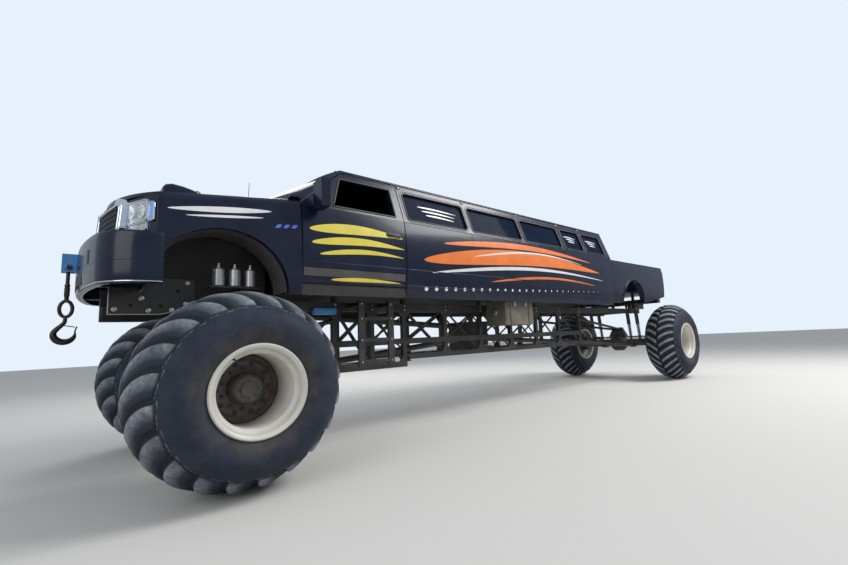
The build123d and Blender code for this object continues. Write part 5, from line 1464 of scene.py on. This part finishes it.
def chassis_trim():
    """Springs and bands on the shock absorbers, bands and valves on the reservoirs, gussets and bolts on the
    truss's posts, and the battery cases."""
    springs, bands, gussets, bolts, cases = [], [], [], [], []
    for axle in AXLES:
        for side in (LEFT, RIGHT):
            for x in SHOCKS_X:
                foot = np.array([side * x, axle.y + axle.way * SHOCK_FOOT[0], axle.radius + SHOCK_FOOT[1]])
                run = np.array([side * x, axle.y + axle.way * SHOCK_HEAD[0], SHOCK_HEAD[1]]) - foot
                springs.append(spring(foot + run * 0.06, foot + run * 0.41, 0.036, 0.006, 7))
                bands += [turned(foot + run * share, run, BAND) for share in (0.43, 0.90)]
    for side in (LEFT, RIGHT):
        out = (side, 0, 0)
        for station in RESERVOIR_STATIONS:
            x, y = side * RESERVOIR_X, along(station)
            bands += [turned((x, y, level), Z_AXIS, CAN_BAND, 24) for level in RESERVOIR_BANDS]
            bolts.append(turned((x, y, VALVE_Z), Z_AXIS, VALVE, 10))
        for post in TRUSS_POSTS:
            foot = DEEP_FOOT if post <= DEEP_TRUSS_END else SHALLOW_FOOT
            for level, tall in ((foot, GUSSET_HEIGHT), (TRUSS_HEAD, -GUSSET_HEIGHT)):
                for way in (1, -1):
                    station = post + way * np.array([GUSSET_NEAR, GUSSET_FAR, GUSSET_NEAR])
                    ring = spots(side * TRUSS_FACE, along(station), level + np.array([0, 0, tall]))
                    gussets.append(rings(np.stack([ring - (side * GUSSET_THICKNESS, 0, 0), ring])))
            for level in POST_BOLTS:
                bolts.append(bolt((side * TRUSS_OUTSIDE, along(post), level), out, 0.012, 0.010))
        case = (side * CASE_X, along(CASE_STATION), CASE_Z)
        cases.append(box_plate(case, out, Y_AXIS, 0.25, 0.07, 0.06, 0.012, 0.005))
    make_piece("shock_springs", "shock_metal", *springs, look="steel")
    make_piece("shock_bands", "shock_metal", *bands, look="steel")
    make_piece("truss_gussets", "chassis_paint", *gussets, smooth=False)
    make_piece("truss_bolts", "steel", *bolts)
    make_piece("battery_cases", "bracket_paint", *cases)


def arch_line(x, reach):
    """A half circle under the front arch, at one distance from the truck's middle plane."""
    turn = np.linspace(0.02, pi - 0.02, 50)
    return spots(x, along(ARCH_STATION) + reach * np.cos(turn), ARCH_Z + reach * np.sin(turn))


def arch_trim():
    """A dusty ribbed liner under each front arch, three silvery reservoirs on a shelf outside the frame."""
    for side_name, side in SIDES:
        sheet = rounded(0.003, LINER_WIDTH, 0.001, 1)
        liner = [carried(arch_line(side * LINER_X, ARCH_REACH), sheet, up=X_AXIS)]
        for x in LINER_RIBS_X:
            line = arch_line(side * x, ARCH_REACH * 0.994)
            liner.append(carried(line, rounded(0.008, 0.014, 0.003, 2), up=X_AXIS))
        make_piece(f"arch_liner_{side_name}", "body_paint", *liner, look="liner")
        places = [(side * RESERVOIR_X, along(station), RESERVOIR_FOOT) for station in RESERVOIR_STATIONS]
        make_piece(f"reservoirs_{side_name}", "steel", *(turned(place, Z_AXIS, CAN, 28) for place in places))
        place = (side * (RESERVOIR_X - 0.035), along(RESERVOIR_STATIONS[1]), RESERVOIR_FOOT - 0.0145)
        shelf = box_plate(place, Z_AXIS, Y_AXIS, 0.420, 0.190, 0.014, 0.015, 0.002)
        make_piece(f"reservoir_shelf_{side_name}", "chassis_paint", shelf)


def axle_trim():
    """A domed cover and its ring of bolts on each centre case, caps with grease nipples on the kingpins."""
    bolts = []
    for axle in AXLES:
        outside = (0, -axle.way, 0)
        for turn in np.arange(COVER_BOLTS) * tau / COVER_BOLTS:
            x, rise = COVER_BOLT_CIRCLE * cos(turn), COVER_BOLT_CIRCLE * sin(turn)
            place = (x, axle.y - axle.way * COVER_BOLT_FACE, axle.radius + rise)
            bolts.append(bolt(place, outside, 0.009, 0.012))
        for side in (LEFT, RIGHT):
            for up in (1, -1):
                place = np.array([side * axle.kingpin_x, axle.y, axle.radius + up * KINGPIN_HALF])
                bolts.append(bolt(place, (0, 0, up), 0.016, 0.010))
                bolts.append(turned(place + (0, 0, up * 0.008), (0, 0, up), NIPPLE, 8))
        cover = turned((0, axle.y - axle.way * COVER_FACE, axle.radius), outside, COVER, 36)
        make_piece(f"{axle.name}_case_cover", "cast_metal", cover)
    make_piece("axle_bolts", "steel", *bolts)


def tank_trim():
    """Straps round the tank box, two latches and a filler cap."""
    straps, fittings = [], []
    y = along(TANK_STATION)
    ring = rounded(TANK_WIDTH, TANK_HEIGHT, 0.020, 4)
    for offset in (-STRAP_OFFSET, STRAP_OFFSET):
        path = spots(TANK_X + ring[:, 0], y + offset, TANK_Z + ring[:, 1])
        straps.append(carried(path, rounded(0.004, 0.034, 0.0015, 2), closed=True, up=Y_AXIS))
    make_piece("tank_straps", "tank_paint", *straps)
    for offset in (-LATCH_OFFSET, LATCH_OFFSET):
        place = np.array([LATCH_X, y + offset, LATCH_Z])
        fittings.append(box_plate(place, X_AXIS, Y_AXIS, 0.040, 0.070, 0.014, 0.008, 0.003))
        fittings.append(turned(place + (0.014, 0, -0.008), X_AXIS, LATCH, 12))
    fittings.append(turned((TANK_X, y - FILLER_OFFSET, FILLER_Z), (0, -1, 0), FILLER, 28))
    make_piece("tank_fittings", "steel", *fittings)


def ladder_trim():
    """Ribbed pads on the boarding ladder's rungs and bolts on its posts."""
    pads, bolts = [], []
    station = np.linspace(*RUNG_STATIONS, 10)
    for level in RUNGS:
        for k in range(-4, 5):
            path = spots(RUNG_X + 0.0026 * k, along(station), level + 0.0202)
            pads.append(carried(path, rounded(0.0016, 0.0016, 0.0006, 1)))
    for post in LADDER_POSTS:
        places = [(LADDER_BOLT_X, along(post), level) for level in (*RUNGS, LADDER_HEAD)]
        bolts += [bolt(place, X_AXIS, 0.011, 0.009) for place in places]
    make_piece("rung_pads", "chassis_paint", *pads, look="rubber")
    make_piece("ladder_bolts", "steel", *bolts)


# Crane hook

HOOK_Y, HOOK_PIN_Z = along(-0.997), 1.760
HOOK_ROD = (
    (0, 0.026), (0.030, 0.026), (0.040, 0.013), (0.150, 0.013), (0.160, 0.018), (0.176, 0.018),
    (0.180, 0.012),
)
# (width, depth, corner, level)
SWIVEL_BLOCK = (
    (0.056, 0.028, 0.008, 1.600), (0.072, 0.036, 0.010, 1.590), (0.072, 0.036, 0.010, 1.530),
    (0.054, 0.028, 0.008, 1.518),
)
EYE_Z, EYE_HALF_WIDTH, EYE_HALF_HEIGHT, EYE_WIRE = 1.420, 0.040, 0.066, 0.0130
EYE_FOOT, HOOK_BOWL_Z, HOOK_BOWL_REACH, HOOK_THICKNESS = 1.362, 1.215, 0.066, 0.0215


def hook_line(back, level):
    """A line in the hook's own plane: distances back from the hook's axis, and heights."""
    return spots(0.0, HOOK_Y + np.asarray(back), level)


def hook_trim():
    """The crane hook in full: pin, rod, swivel block, oval eye, tapered hook, latch; its bracket's bolts."""
    shapes = [turned((-0.062, HOOK_Y, HOOK_PIN_Z), X_AXIS, ((0, 0.0145), (0.124, 0.0145)), 18)]
    for side in (LEFT, RIGHT):
        shapes.append(bolt((side * 0.0495, HOOK_Y, HOOK_PIN_Z), (side, 0, 0), 0.0235, 0.012))
    shapes.append(turned((0, HOOK_Y, HOOK_PIN_Z + 0.020), (0, 0, -1), HOOK_ROD, 20))
    block = [(rounded(*size), level) for *size, level in SWIVEL_BLOCK]
    shapes.append(rings(np.stack([spots(ring[:, 0], HOOK_Y + ring[:, 1], level) for ring, level in block])))
    shapes.append(turned((0, HOOK_Y, 1.522), (0, 0, -1), ((0, 0.015), (0.034, 0.015), (0.036, 0.010)), 16))
    turn = np.arange(56) * tau / 56
    eye = hook_line(EYE_HALF_WIDTH * np.cos(turn), EYE_Z + EYE_HALF_HEIGHT * np.sin(turn))
    shapes.append(carried(eye, circle(EYE_WIRE, 10), closed=True, up=X_AXIS))
    # The hook: down from the eye, back round the bowl and up to its pointed tip.
    drop, bowl = np.linspace(0, 1, 20)[:-1], np.linspace(pi, -0.20, 60)
    back = [-HOOK_BOWL_REACH * smoothstep(0.25, 1.0, drop), HOOK_BOWL_REACH * np.cos(bowl), (0.068, 0.076)]
    level = [
        EYE_FOOT + (HOOK_BOWL_Z - EYE_FOOT) * drop, HOOK_BOWL_Z - HOOK_BOWL_REACH * np.sin(bowl),
        (HOOK_BOWL_Z + 0.034, HOOK_BOWL_Z + 0.060),
    ]
    path = hook_line(np.concatenate(back), np.concatenate(level))
    share = np.linspace(0, 1, len(path))
    thick = 0.55 + 0.65 * np.sin(pi * np.clip(share * 1.05, 0, 1)) ** 1.3 - 0.30 * smoothstep(0.8, 1.0, share)
    shapes.append(carried(path, circle(HOOK_THICKNESS, 14), up=X_AXIS, scale=thick))
    latch = hook_line((-0.034, 0.0, 0.034, 0.064), (1.290, 1.283, 1.276, 1.270))
    shapes.append(carried(latch, rounded(0.007, 0.022, 0.002, 2), up=X_AXIS))
    make_piece("hook_assembly", "hook_steel", *shapes, body="crane_hook", replaces=("crane_hook",))
    places = [(side * 0.0245, along(-0.9600), level) for side in (LEFT, RIGHT) for level in (1.745, 1.855)]
    make_piece("bracket_bolts", "steel", *(bolt(place, (0, -1, 0), 0.007, 0.006) for place in places))


# Seats: padded cushions on their shells

CABIN_FLOOR = 1.560
CUSHION_POWER = 0.22
# (name, station, width, x)
SEATS = (
    ("front_left", 1.250, 0.560, 0.400), ("front_right", 1.250, 0.560, -0.400),
    *((f"bench_{k + 1}", 2.500 + 0.950 * k, 1.500, 0.0) for k in range(4)),
)
# (name, distance behind the seat's station, level, depth, height, lean, crown)
PADS = (
    ("seat", 0.235, 1.925, 0.47, 0.150, -0.07, 0.022),
    ("back", 0.535, 2.235, 0.56, 0.105, radians(76.5), 0.020),
)
SHELL = np.array((
    (0.02, 0.004), (0.03, 0.27), (0.47, 0.27), (0.55, 0.35), (0.665, 0.92), (0.645, 0.93), (0.60, 0.80),
    (0.525, 0.004),
))


def powered(value, power):
    """A value raised to a power that keeps its sign."""
    return np.sign(value) * np.abs(value) ** power


def cushion(place, wide, deep, high, lean, channels, crown):
    """A crowned closed pad: a superellipse box whose top swells, with sewn channels and pinched corners.

    Two parameters run round (u) and from foot to top (v); lean turns it back about its lower edge."""
    u = np.arange(96) * tau / 96
    v = np.linspace(-pi / 2, pi / 2, 37)[:, None]
    ring = np.cos(v) ** 0.30
    x = wide / 2 * powered(np.cos(u), CUSHION_POWER) * ring
    y = deep / 2 * powered(np.sin(u), CUSHION_POWER) * ring
    z = high / 2 * powered(np.sin(v), 0.55) + 0 * u
    top = smoothstep(0.1, 0.8, z / (high / 2))
    dome = np.cos(pi * x / wide) * np.cos(pi * y / deep)
    z = z + top * crown * (dome - 0.35)
    seam = np.exp(-((np.abs(((x / wide + 0.5) * channels) % 1.0 - 0.5) - 0.5) / 0.035) ** 2)
    z = z - top * 0.010 * seam * smoothstep(0.04, 0.14, np.cos(pi * x / wide))
    pinch = 1 - 0.03 * (np.abs(np.sin(2 * u)) ** 3) * np.cos(v)
    x, y = x * pinch, y * pinch
    leaning_y = y * cos(lean) - z * sin(lean)
    leaning_z = y * sin(lean) + z * cos(lean)
    return rings(spots(place[0] + x, place[1] + leaning_y, place[2] + leaning_z))


def fit_seats():
    """Each seat: a base pad and a leaning back pad on a moulded shell, which replaces the plain solid."""
    shells = []
    for name, station, wide, x in SEATS:
        channels = 3 if wide < 1 else 9
        for part, behind, level, deep, high, lean, crown in PADS:
            place = (x, along(station + behind), level)
            shape = cushion(place, wide - 0.03, deep, high, lean, channels, crown)
            pad = make_piece(f"{name}_{part}_pad", "seat_leather", shape)
        half = wide / 2 - 0.012
        y, z = along(station + SHELL[:, 0]), CABIN_FLOOR + SHELL[:, 1]
        ends = [spots(x + offset, y, z) for offset in (-half, half)]
        shells.append(rings(np.stack(ends)))
    make_piece("seat_shells", "interior_plastic", *shells, smooth=False, replaces=("seats",))


# Dashboard

HUB_X, HUB_STATION, HUB_Z, WHEEL_RADIUS = 0.400, 1.045, 2.190, 0.186
GAUGES, GAUGE_STATION, GAUGE_Z = ((0.29, 0.045), (0.40, 0.055), (0.51, 0.045)), 0.852, 2.205
VENTS_X, VENT_STATION, VENT_Z, SLATS = (-0.70, -0.25, 0.10, 0.72), 0.842, 2.112, 4


def dash_trim():
    """A padded rim on the steering wheel, round gauges before it, slats in the air vents."""
    axis = Vector((0, 1, 0.55)).normalized()
    second = np.cross(np.array(axis), X_AXIS)
    turn = (np.arange(48) * tau / 48)[:, None]
    hub = (HUB_X, along(HUB_STATION), HUB_Z)
    path = hub + WHEEL_RADIUS * (np.cos(turn) * X_AXIS + np.sin(turn) * second)
    rim = carried(path, circle(0.0165, 10), closed=True, up=axis)
    make_piece("steering_wheel_rim", "interior_plastic", rim, look="rubber")
    gauges, vents = [], []
    for x, radius in GAUGES:
        rim = ((-0.03, radius), (0.006, radius), (0.008, radius * 0.9))
        profile = (*rim, (0.004, radius * 0.86), (0.004, 0.002))
        gauges.append(turned((x, along(GAUGE_STATION), GAUGE_Z), (0, 0.86, 0.5), profile, 28))
    for x in VENTS_X:
        for k in range(SLATS):
            place = (x, along(VENT_STATION) - 0.022 * k, VENT_Z - 0.030 * k)
            vents.append(box_plate(place, (0, 0.9, -0.42), X_AXIS, 0.14, 0.014, 0.012, 0.004, 0.002))
    make_piece("dash_gauges", "interior_plastic", *gauges, look="rubber")
    make_piece("dash_vents", "interior_plastic", *vents, look="rubber")


# Floor and light

FLOOR_REACH = 60.0
SKY, SKY_SEEN, SKY_LIGHT = (0.80, 0.88, 0.97), 1.0, 0.60
# (name, place, aim, size, power)
LAMPS = (
    ("key", (7.0, 6.0, 10.0), (0, -1, 1.2), 6.5, 1500.0),
    ("fill", (5.0, -11.0, 5.0), (0, -3, 1.2), 6.0, 260.0),
    ("back", (-9.0, 2.0, 7.0), (0, 0, 1.5), 6.0, 400.0),
)


def lay_floor():
    """A wide pale floor that keeps the shadow."""
    mesh = bpy.data.meshes.new("pale_floor")
    corners = [(x * FLOOR_REACH, y * FLOOR_REACH, 0) for x, y in ((-1, -1), (1, -1), (1, 1), (-1, 1))]
    mesh.from_pydata(corners, [], [(0, 1, 2, 3)])
    floor = bpy.data.objects.new("pale_floor", mesh)
    scene.collection.objects.link(floor)
    material = bpy.data.materials.new("pale_floor")
    material.use_nodes = True
    shader = material.node_tree.nodes["Principled BSDF"]
    shader.inputs["Base Color"].default_value = shade((0.60, 0.58, 0.55))
    shader.inputs["Roughness"].default_value = 0.9
    floor.data.materials.append(material)


def light_scene():
    """Soft studio light: a pale world, a large key from the left rear, a wide fill and a back light."""
    world = bpy.data.worlds.new("studio")
    world.use_nodes = True
    world.node_tree.nodes.clear()
    n = Nodes(world.node_tree)
    path = n.add("ShaderNodeLightPath").outputs
    seen = n.maths("MAXIMUM", path["Is Camera Ray"], path["Is Transmission Ray"])
    strength = n.add("ShaderNodeMix", {0: seen, 2: SKY_LIGHT, 3: SKY_SEEN}).outputs[0]
    background = n.add("ShaderNodeBackground", {"Color": shade(SKY), "Strength": strength})
    n.add("ShaderNodeOutputWorld", {"Surface": background.outputs[0]})
    scene.world = world
    for name, place, aim, size, power in LAMPS:
        data = bpy.data.lights.new(name, "AREA")
        data.size = size
        data.energy = power
        lamp = bpy.data.objects.new(name, data)
        lamp.location = place
        lamp.rotation_euler = (Vector(aim) - Vector(place)).to_track_quat("-Z", "Y").to_euler()
        scene.collection.objects.link(lamp)


scene.view_settings.view_transform = "Standard"
aim_camera()
lay_floor()
light_scene()
dress_nodes()
lay_tyres()
fit_wheels()
flowing_design()
fender_design()
window_seals()
door_trim()
cab_trim()
grille()
head_lamps()
bumper_trim()
bonnet_trim()
bed_trim()
chassis_trim()
arch_trim()
axle_trim()
tank_trim()
ladder_trim()
hook_trim()
fit_seats()
dash_trim()
